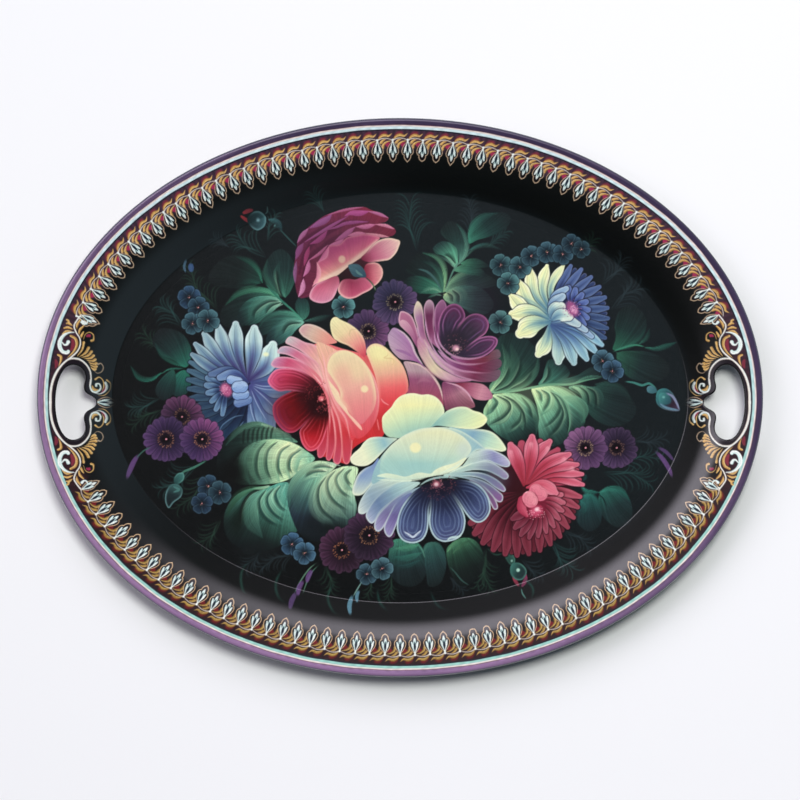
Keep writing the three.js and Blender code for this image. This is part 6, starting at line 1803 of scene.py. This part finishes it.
paint_ground()
for surface in (wall, floor):
    rng = np.random.default_rng(23)  # the same strokes on both, so that they run on over the bend
    for layer in (grasses, leaves, cream_daisy, blue_aster, lower_left_leaves, lower_leaves, lit_leaves,
        small_flowers, buds, glazed_peony, glazed_mauve_rose, glazed_pink_rose, red_dahlia,
        glazed_white_rose):
        layer()


# ---------------------------------------------------------------- meshes
def offset_outline(side, clear):
    """A hand hole's outline moved outwards, with its outward normals."""
    path = hole_outline(side)
    turn = np.roll(path, -1, 0) - np.roll(path, 1, 0)
    normal = side * np.stack([turn[:, 1], -turn[:, 0]], 1) / np.hypot(turn[:, 0], turn[:, 1])[:, None]
    path = path + normal * clear
    return np.concatenate([path, path[:1]]), np.concatenate([normal, normal[:1]])


def cut_holes(x, y, cell, clear):
    """Moves grid points that lie close to a hand hole's edge onto it. Gives -1 for points in a hole, 0
    for those on its edge and 1 for the rest, and the outward normals at the edge."""
    x, y, state = x.copy(), y.copy(), np.ones(x.shape, int)
    normals = np.zeros(x.shape + (2,))
    for side in (-1, 1):
        path, normal = offset_outline(side, clear)
        low, high = path.min(0) - 2 * cell, path.max(0) + 2 * cell
        near = (x > low[0]) & (x < high[0]) & (y > low[1]) & (y < high[1])
        spots = np.stack([x[near], y[near]], 1)
        gap, share, _ = nearest_on(path, spots)
        on = gap < 0.55 * cell
        state[near] = np.where(on, 0, np.where(inside_polygon(path, spots), -1, 1))
        run = np.concatenate([[0], np.cumsum(np.hypot(*np.diff(path, axis=0).T))])
        for k in (0, 1):
            spots[on, k] = np.interp(share[on] * run[-1], run, path[:, k])
        x[near], y[near] = spots.T
        turned = np.stack([np.interp(share * run[-1], run, normal[:, k]) for k in (0, 1)], 1)
        normals[near] = turned / np.hypot(turned[:, 0], turned[:, 1])[:, None]
    return x, y, state, normals


def grid_faces(x, y, state, wrap):
    """Faces of a grid of points, with +Z up where columns run anticlockwise and rows run inwards:
    four-cornered where all is whole, three-cornered along a hand hole's edge."""
    columns, rows = x.shape
    index = np.arange(columns * rows).reshape(columns, rows)
    ahead = np.roll(index, -1, 0) if wrap else index[1:]
    index = index if wrap else index[:-1]
    quads = np.stack([index[:, :-1], ahead[:, :-1], ahead[:, 1:], index[:, 1:]], -1).reshape(-1, 4)
    flat_state, flat_x, flat_y = state.ravel(), x.ravel(), y.ravel()
    corner = flat_state[quads]
    whole = (corner == 1).all(1) | ((corner >= 0).all(1) & ((corner == 0).sum(1) == 1))
    mixed = quads[~whole]
    corner = flat_state[mixed]
    turn = (corner[:, 1] == 0) & (corner[:, 3] == 0)
    first = np.where(turn[:, None], mixed[:, [0, 1, 3]], mixed[:, [0, 1, 2]])
    second = np.where(turn[:, None], mixed[:, [1, 2, 3]], mixed[:, [0, 2, 3]])
    triangles = np.concatenate([first, second])
    corner = flat_state[triangles]
    keep = (corner >= 0).all(1)
    edge_only = keep & (corner == 0).all(1)
    middle = np.stack([flat_x[triangles].mean(1), flat_y[triangles].mean(1)], 1)
    for side in (-1, 1):
        keep[edge_only] &= ~inside_polygon(offset_outline(side, EDGE_CLEAR)[0], middle[edge_only])
    return quads[whole], triangles[keep]


def build_mesh(name, points, faces, colour=None):
    """A smooth-shaded mesh object from millimetre points, lists of faces of equal size, and display
    colours."""
    mesh = bpy.data.meshes.new(name)
    points = np.asarray(points, np.float32) * MM
    corners = np.concatenate([f.ravel() for f in faces]).astype(np.int32)
    sizes = np.concatenate([np.full(len(f), f.shape[1], np.int32) for f in faces])
    starts = np.concatenate([[0], np.cumsum(sizes)[:-1]]).astype(np.int32)
    mesh.vertices.add(len(points))
    mesh.vertices.foreach_set("co", points.ravel())
    mesh.loops.add(len(corners))
    mesh.loops.foreach_set("vertex_index", corners)
    mesh.polygons.add(len(sizes))
    mesh.polygons.foreach_set("loop_start", starts)
    mesh.polygons.foreach_set("loop_total", sizes)
    mesh.polygons.foreach_set("use_smooth", np.ones(len(sizes), bool))
    mesh.update()
    if colour is not None:
        shown = np.clip(colour, 0, 1)
        linear = np.where(shown <= 0.04045, shown / 12.92, ((shown + 0.055) / 1.055) ** 2.4)
        layer = mesh.attributes.new("paint", "FLOAT_COLOR", "POINT")
        layer.data.foreach_set("color", np.concatenate([linear, np.ones((len(linear), 1))],
                1).astype(np.float32).ravel())
    made = bpy.data.objects.new(name, mesh)
    bpy.context.collection.objects.link(made)
    return made


def drop_unused(points, faces, *extras):
    """Leaves out points that no face uses."""
    used = np.zeros(len(points), bool)
    for f in faces:
        used[f.ravel()] = True
    place = np.cumsum(used) - 1
    return points[used], [place[f] for f in faces], *[e[used] for e in extras]


EDGE_CLEAR = SHEET / 2  # the hole's rounded lip takes up this much
SHELL_COLUMNS = 1440
FLOOR_RING = 60.0  # the shell's rings are a millimetre apart out from here
FLOOR_SHRINK = [0.93, 0.8, 0.6, 0.35]  # sizes of the few rings of the flat floor inside it


def curl_arc(depth, steps):
    """The rolled edge from the border's slope round to its open lip: insets and heights."""
    angle = math.pi / 2 + FLARE - np.linspace(0, CURL_SWEEP, steps + 1)
    radius = CURL_RADIUS - depth
    return CURL_RADIUS - radius * np.cos(angle), HEIGHT - CURL_RADIUS + radius * np.sin(angle)


def make_shell():
    """The pan as one closed smooth solid with a rolled edge and round-lipped hand holes."""
    angles = even_angles(SHELL_COLUMNS, 20)[0][:, None]
    faces_of_sheet = {}
    for depth in (0.0, SHEET):
        crest = CURL_RADIUS + (CURL_RADIUS - depth) * math.sin(FLARE)
        insets = np.concatenate([[crest], np.arange(4, FLOOR_RING + 0.5)])
        x, y = plan_point(angles, insets[None])
        x, y, state, normals = cut_holes(x, y, 1.0, EDGE_CLEAR)
        z = sheet_height(inset_of(x, y), depth)
        z[:, 0] = sheet_height(crest, depth)
        rings_x = x[:, -1:] * FLOOR_SHRINK
        rings_y = y[:, -1:] * FLOOR_SHRINK
        x, y = np.concatenate([x, rings_x], 1), np.concatenate([y, rings_y], 1)
        z = np.concatenate([z, np.full(rings_x.shape, SHEET - depth)], 1)
        state = np.concatenate([state, np.ones(rings_x.shape, int)], 1)
        faces_of_sheet[depth] = (x, y, z, state, normals)
    bottom, top = faces_of_sheet[SHEET], faces_of_sheet[0.0]
    out_inset, out_height = curl_arc(0.0, 40)
    in_inset, in_height = curl_arc(SHEET, 30)
    lip = np.array([out_inset[-1] + in_inset[-1], out_height[-1] + in_height[-1]]) / 2
    across = np.array([in_inset[-1], in_height[-1]]) - lip
    ahead = np.array([-math.sin(math.pi / 2 + FLARE - CURL_SWEEP),
            -math.cos(math.pi / 2 + FLARE - CURL_SWEEP)])
    round_lip = [lip + across * math.cos(t) + ahead * SHEET / 2 * math.sin(t)
        for t in np.radians([45, 90, 135])]
    curl_inset = np.concatenate([in_inset[1:], [p[0] for p in round_lip], out_inset[:0:-1]])
    curl_height = np.concatenate([in_height[1:], [p[1] for p in round_lip], out_height[:0:-1]])
    cx, cy = plan_point(angles, curl_inset[None])
    cz = np.broadcast_to(curl_height, cx.shape)
    x = np.concatenate([bottom[0][:, ::-1], cx, top[0]], 1)
    y = np.concatenate([bottom[1][:, ::-1], cy, top[1]], 1)
    z = np.concatenate([bottom[2][:, ::-1], cz, top[2]], 1)
    state = np.concatenate([bottom[3][:, ::-1], np.ones(cx.shape, int), top[3]], 1)
    columns, rows = x.shape
    quads, triangles = grid_faces(x, y, state, True)
    points = np.stack([x, y, z], -1).reshape(-1, 3)
    centres = len(points) + np.arange(2)
    points = np.concatenate([points, [[0, 0, 0], [0, 0, SHEET]]])
    ring = np.arange(columns) * rows
    after = np.roll(ring, -1)
    triangles = np.concatenate([
        triangles,
        np.stack([ring, np.full(columns, centres[0]), after], 1),
        np.stack([ring + rows - 1, after + rows - 1, np.full(columns, centres[1])], 1),
    ])
    points, lip_quads = round_holes(points, quads, triangles, state, top, rows)
    inset = inset_of(points[:, 0], points[:, 1])
    colour = shell_colours(points, inset)
    points, faces, colour = drop_unused(points, [quads, triangles, lip_quads], colour)
    return build_mesh("pan_shell", points, faces, colour)


def round_holes(points, quads, triangles, state, top, rows):
    """Joins the painted face to the underside round each hand hole with a half-round lip."""
    top_start = rows - top[0].shape[1]
    edges = np.concatenate([f[:, [k, (k + 1) % f.shape[1]]] for f in (quads, triangles)
            for k in range(f.shape[1])])
    flat = state.ravel()
    known = edges < flat.size
    edges = edges[known.all(1)]
    edges = edges[(flat[edges] == 0).all(1) & (edges % rows >= top_start).all(1)]
    total = len(points)
    codes = set((edges[:, 0] * total + edges[:, 1]).tolist())
    bare = edges[[(b * total + a) not in codes for a, b in edges.tolist()]]
    corner, place = np.unique(bare, return_inverse=True)
    place = place.reshape(bare.shape)
    corner_below = corner // rows * rows + (rows - 1 - corner % rows)
    inward = -top[4][corner // rows, corner % rows - top_start]
    middle = (points[corner] + points[corner_below]) / 2
    half = (points[corner] - points[corner_below])[:, 2:] / 2
    layers = [corner]
    extra = []
    for t in np.radians([30, 60, 90, 120, 150]):
        layer = middle.copy()
        layer[:, :2] += inward * SHEET / 2 * math.sin(t)
        layer[:, 2:] += half * math.cos(t)
        layers.append(total + len(extra) * len(corner) + np.arange(len(corner)))
        extra.append(layer)
    layers.append(corner_below)
    made = []
    for upper, lower in zip(layers[:-1], layers[1:]):
        made.append(np.stack([upper[place[:, 1]], upper[place[:, 0]], lower[place[:, 0]],
                    lower[place[:, 1]]], 1))
    return np.concatenate([points, *extra]), np.concatenate(made)


def shell_colours(points, inset):
    """Black enamel, with the violet band on the rolled edge, lighter on the near side as painted sheen, and
    a dark navy line of painted shade along the roll's outer edge.
    """
    x, y, z = points.T
    colour = np.tile(np.array(GROUND) / 255, (len(points), 1))
    upper = z > HEIGHT - CURL_RADIUS * 0.9
    # the violet band, with its painted sheen
    violet = rim_band_and_painted_sheen(np.arctan2(y, x), x, y)
    share = (smoothstep((inset - 0.75) / 0.5 + 0.5) * smoothstep((8 - inset) / 1.0) * upper)[:, None]
    colour = colour * (1 - share) + violet * share
    # painted shade: a dark navy line where the roll turns down at its outer edge
    outer_edge_shade = (np.exp(-(((inset - 0.35) / 0.5) ** 2)) * upper * 0.9)[:, None]
    return colour * (1 - outer_edge_shade) + np.array((40, 50, 74)) / 255 * outer_edge_shade


FILM_LIFT = 0.06  # how far the paint stands off the metal
PAINT_HEIGHT = 0.5  # of the strokes' own relief


def make_border():
    x, y, state, _ = cut_holes(border_x, border_y, GRID, EDGE_CLEAR + 0.3)
    inset = inset_of(x, y)
    edge = smoothstep((inset - FILM_START) / 0.5) * smoothstep((FILM_END - inset) / 0.8) * (state > 0)
    z = sheet_height(inset) - 0.05 + (FILM_LIFT + 0.05) * edge + border_relief * PAINT_HEIGHT * edge
    quads, triangles = grid_faces(x, y, state, True)
    points = np.stack([x, y, z], -1).reshape(-1, 3)
    faces = [quads[:, ::-1], triangles[:, ::-1]]
    points, faces, colour = drop_unused(points, faces, border_paint.reshape(-1, 3))
    return build_mesh("painted_border", points, faces, colour)


def make_floor():
    inset = inset_of(floor_x, floor_y)
    state = np.where(inset >= FLOOR_EDGE, 1, -1)
    edge = smoothstep((inset - FLOOR_EDGE) / 1.6)
    z = SHEET - 0.03 + (FILM_LIFT + 0.03) * edge + floor_relief * PAINT_HEIGHT
    quads, _ = grid_faces(floor_x, floor_y, state, False)
    points = np.stack([floor_x, floor_y, z], -1).reshape(-1, 3)
    points, faces, colour = drop_unused(points, [quads], floor_paint.reshape(-1, 3))
    return build_mesh("painted_bouquet", points, faces, colour)


# ---------------------------------------------------------------- materials
def node(tree, kind, **values):
    """A shader node with its settings, and its inputs by name."""
    made = tree.nodes.new(kind)
    for key, value in values.items():
        if key in made.inputs:
            made.inputs[key].default_value = value
        else:
            setattr(made, key, value)
    return made


def lacquer(name, painted, grain=600.0):
    """Enamel or oil paint under a thick clear lacquer: faint pigment variation and a soft, uneven
    gloss."""
    material = bpy.data.materials.new(name)
    material.use_nodes = True
    tree = material.node_tree
    shader = tree.nodes["Principled BSDF"]
    shader.inputs["Coat Weight"].default_value = 1.0
    shader.inputs["Coat Roughness"].default_value = 0.04
    shader.inputs["Coat IOR"].default_value = 1.5
    shader.inputs["IOR"].default_value = 1.45
    place = node(tree, "ShaderNodeTexCoord").outputs["Object"]
    pigment = node(tree, "ShaderNodeTexNoise", Scale=grain, Detail=3.0, Roughness=0.6)
    tree.links.new(place, pigment.inputs["Vector"])
    spread = node(tree, "ShaderNodeMapRange")
    spread.inputs["To Min"].default_value, spread.inputs["To Max"].default_value = painted
    tree.links.new(pigment.outputs["Fac"], spread.inputs["Value"])
    paint = node(tree, "ShaderNodeAttribute", attribute_name="paint")
    shade = node(tree, "ShaderNodeVectorMath", operation="SCALE")
    tree.links.new(paint.outputs["Color"], shade.inputs[0])
    tree.links.new(spread.outputs["Result"], shade.inputs["Scale"])
    tree.links.new(shade.outputs["Vector"], shader.inputs["Base Color"])
    rough = node(tree, "ShaderNodeMapRange")
    rough.inputs["To Min"].default_value, rough.inputs["To Max"].default_value = 0.3, 0.5
    tree.links.new(pigment.outputs["Fac"], rough.inputs["Value"])
    tree.links.new(rough.outputs["Result"], shader.inputs["Roughness"])
    peel = node(tree, "ShaderNodeTexNoise", Scale=90.0, Detail=2.0, Roughness=0.5)
    tree.links.new(place, peel.inputs["Vector"])
    bump = node(tree, "ShaderNodeBump", Strength=0.12, Distance=0.00012)
    tree.links.new(peel.outputs["Fac"], bump.inputs["Height"])
    tree.links.new(bump.outputs["Normal"], shader.inputs["Coat Normal"])
    tree.links.new(bump.outputs["Normal"], shader.inputs["Normal"])
    return material


def drawn_steel():
    """Bare drawn wire: fine lengthwise die marks and a dull oxide."""
    material = bpy.data.materials.new("drawn_wire_steel")
    material.use_nodes = True
    tree = material.node_tree
    shader = tree.nodes["Principled BSDF"]
    shader.inputs["Metallic"].default_value = 1.0
    place = node(tree, "ShaderNodeTexCoord").outputs["Object"]
    stretch = node(tree, "ShaderNodeMapping", Scale=(60.0, 60.0, 2400.0))
    tree.links.new(place, stretch.inputs["Vector"])
    marks = node(tree, "ShaderNodeTexNoise", Scale=1.0, Detail=4.0)
    tree.links.new(stretch.outputs["Vector"], marks.inputs["Vector"])
    ramp = node(tree, "ShaderNodeValToRGB")
    ramp.color_ramp.elements[0].color = (0.24, 0.25, 0.26, 1)
    ramp.color_ramp.elements[1].color = (0.52, 0.52, 0.53, 1)
    tree.links.new(marks.outputs["Fac"], ramp.inputs["Fac"])
    tree.links.new(ramp.outputs["Color"], shader.inputs["Base Color"])
    rough = node(tree, "ShaderNodeMapRange")
    rough.inputs["To Min"].default_value, rough.inputs["To Max"].default_value = 0.32, 0.55
    tree.links.new(marks.outputs["Fac"], rough.inputs["Value"])
    tree.links.new(rough.outputs["Result"], shader.inputs["Roughness"])
    return material


def pale_floor():
    material = bpy.data.materials.new("studio_floor")
    material.use_nodes = True
    tree = material.node_tree
    shader = tree.nodes["Principled BSDF"]
    shader.inputs["Roughness"].default_value = 0.9
    shader.inputs["Specular IOR Level"].default_value = 0.1
    noise = node(tree, "ShaderNodeTexNoise", Scale=3.0)
    ramp = node(tree, "ShaderNodeValToRGB")
    ramp.color_ramp.elements[0].color = (0.845, 0.85, 0.86, 1)
    ramp.color_ramp.elements[1].color = (0.865, 0.87, 0.88, 1)
    tree.links.new(noise.outputs["Fac"], ramp.inputs["Fac"])
    tree.links.new(ramp.outputs["Color"], shader.inputs["Base Color"])
    return material


shell = make_shell()
film = make_border()
bouquet = make_floor()
shell.data.materials.append(lacquer("black_enamel", (0.93, 1.07)))
film.data.materials.append(lacquer("border_paint", (0.94, 1.06)))
bouquet.data.materials.append(lacquer("bouquet_paint", (0.94, 1.06)))
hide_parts("tray_pan")
for piece in (shell, film, bouquet):
    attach(piece, "root")
wire = next(o for o in bpy.data.objects if o.name == "rim_wire")
wire_steel = drawn_steel()
for place in wire.material_slots:
    place.material = wire_steel

# ---------------------------------------------------------------- the studio floor
half_floor = 4.0
corners = np.array([[-1, -1, 0], [1, -1, 0], [1, 1, 0], [-1, 1, 0]]) * half_floor / MM
ground = build_mesh("studio_floor", corners, [np.array([[0, 1, 2, 3]])])
ground.data.materials.append(pale_floor())


# ---------------------------------------------------------------- light and camera
# Heights are on a unit sphere. A span is a bearing in degrees and the cosines between which it fades.
SCREEN_TOP, SCREEN_FOOT, END_HEIGHT = (0.93, 0.8), (0.25, 0.7), (0.95, 0.4)
FAR_SPAN, END_SPAN = (122, 0.15, 1.0), (-15, 0.2, 0.95)
FAR_SCREEN, END_SCREEN, ROOM_GLOW = 3.4, 0.3, 0.02  # strengths
FAR_COLOUR, END_COLOUR, ROOM_COLOUR = (0.95, 0.89, 1.0), (0.62, 0.84, 1.0), (0.7, 0.85, 1)


def studio_world():
    """A soft studio room: dark straight above, a tall pale screen beyond the far side and a dim bluish
    one at the right end, so that the lacquered walls mirror them and the flat floor stays black. The
    camera sees it pale."""
    world = bpy.data.worlds.new("studio")
    world.use_nodes = True
    tree = world.node_tree
    tree.nodes.clear()
    way = node(tree, "ShaderNodeSeparateXYZ")
    tree.links.new(node(tree, "ShaderNodeTexCoord").outputs["Generated"], way.inputs[0])

    def lobe(axis, start, end):
        made = node(tree, "ShaderNodeMapRange", interpolation_type="SMOOTHSTEP")
        made.inputs["From Min"].default_value, made.inputs["From Max"].default_value = start, end
        tree.links.new(way.outputs[axis], made.inputs["Value"])
        return made.outputs["Result"]

    def shine(strength, colour):
        made = node(tree, "ShaderNodeBackground", Color=(*colour, 1))
        tree.links.new(strength, made.inputs["Strength"])
        return made.outputs[0]

    def times(a, b):
        made = node(tree, "ShaderNodeMath", operation="MULTIPLY")
        for k, value in enumerate((a, b)):
            if isinstance(value, (int, float)):
                made.inputs[k].default_value = value
            else:
                tree.links.new(value, made.inputs[k])
        return made.outputs[0]

    def both(a, b):
        made = node(tree, "ShaderNodeAddShader")
        tree.links.new(a, made.inputs[0])
        tree.links.new(b, made.inputs[1])
        return made.outputs[0]

    flat = node(tree, "ShaderNodeCombineXYZ")
    tree.links.new(way.outputs["X"], flat.inputs["X"])
    tree.links.new(way.outputs["Y"], flat.inputs["Y"])
    bearing = node(tree, "ShaderNodeVectorMath", operation="NORMALIZE")
    tree.links.new(flat.outputs[0], bearing.inputs[0])

    def towards(degrees, start, end):
        aim = node(tree, "ShaderNodeVectorMath", operation="DOT_PRODUCT")
        aim.inputs[1].default_value = (math.cos(math.radians(degrees)), math.sin(math.radians(degrees)), 0)
        tree.links.new(bearing.outputs[0], aim.inputs[0])
        made = node(tree, "ShaderNodeMapRange", interpolation_type="SMOOTHSTEP")
        made.inputs["From Min"].default_value, made.inputs["From Max"].default_value = start, end
        tree.links.new(aim.outputs["Value"], made.inputs["Value"])
        return made.outputs["Result"]

    height = times(lobe("Z", *SCREEN_TOP), lobe("Z", *SCREEN_FOOT))
    far_screen = shine(times(times(towards(*FAR_SPAN), height), FAR_SCREEN), FAR_COLOUR)
    end_screen = shine(times(times(towards(*END_SPAN), lobe("Z", *END_HEIGHT)), END_SCREEN), END_COLOUR)
    dim = node(tree, "ShaderNodeBackground", Color=(*ROOM_COLOUR, 1), Strength=ROOM_GLOW).outputs[0]
    room = both(both(far_screen, end_screen), dim)
    pale = node(tree, "ShaderNodeBackground", Color=(0.9, 0.91, 0.92, 1), Strength=0.95).outputs[0]
    pick = node(tree, "ShaderNodeMixShader")
    tree.links.new(node(tree, "ShaderNodeLightPath").outputs["Is Camera Ray"], pick.inputs[0])
    tree.links.new(room, pick.inputs[1])
    tree.links.new(pale, pick.inputs[2])
    tree.links.new(pick.outputs[0], node(tree, "ShaderNodeOutputWorld").inputs[0])
    bpy.context.scene.world = world


def area_light(name, place, aim, size, watts, colour, mirrored):
    data = bpy.data.lights.new(name, "AREA")
    data.shape, data.size, data.energy, data.color = "DISK", size, watts, colour
    lamp = bpy.data.objects.new(name, data)
    bpy.context.collection.objects.link(lamp)
    lamp.location = place
    back = np.array(place, float) - np.array(aim, float)
    lamp.rotation_euler = (math.atan2(math.hypot(back[0], back[1]), back[2]), 0, math.atan2(back[1],
            back[0]) + math.pi / 2)
    lamp.visible_glossy = mirrored
    return lamp


studio_world()
KEY_PLACE, KEY_SIZE, KEY_WATTS, KEY_COLOUR = (0.35, 0.75, 2.6), 0.9, 49.0, (0.95, 0.975, 0.925)
area_light("key_light", KEY_PLACE, (0, 0, 0), KEY_SIZE, KEY_WATTS, KEY_COLOUR, False)

CAMERA_HEIGHT = 2.2  # over the rolled edge
FRAME_WIDTH = 0.55  # what the picture takes in at the height of the rolled edge
CAMERA_SHIFT = -0.0017  # how far off the tray's long axis the middle of the picture lies
eye = bpy.data.cameras.new("camera")
eye.sensor_width = 36.0
eye.lens = eye.sensor_width * CAMERA_HEIGHT / FRAME_WIDTH
camera = bpy.data.objects.new("camera", eye)
bpy.context.collection.objects.link(camera)
camera.location = (0, CAMERA_SHIFT, CAMERA_HEIGHT + HEIGHT * MM)
bpy.context.scene.camera = camera
bpy.context.scene.view_settings.view_transform = "Standard"
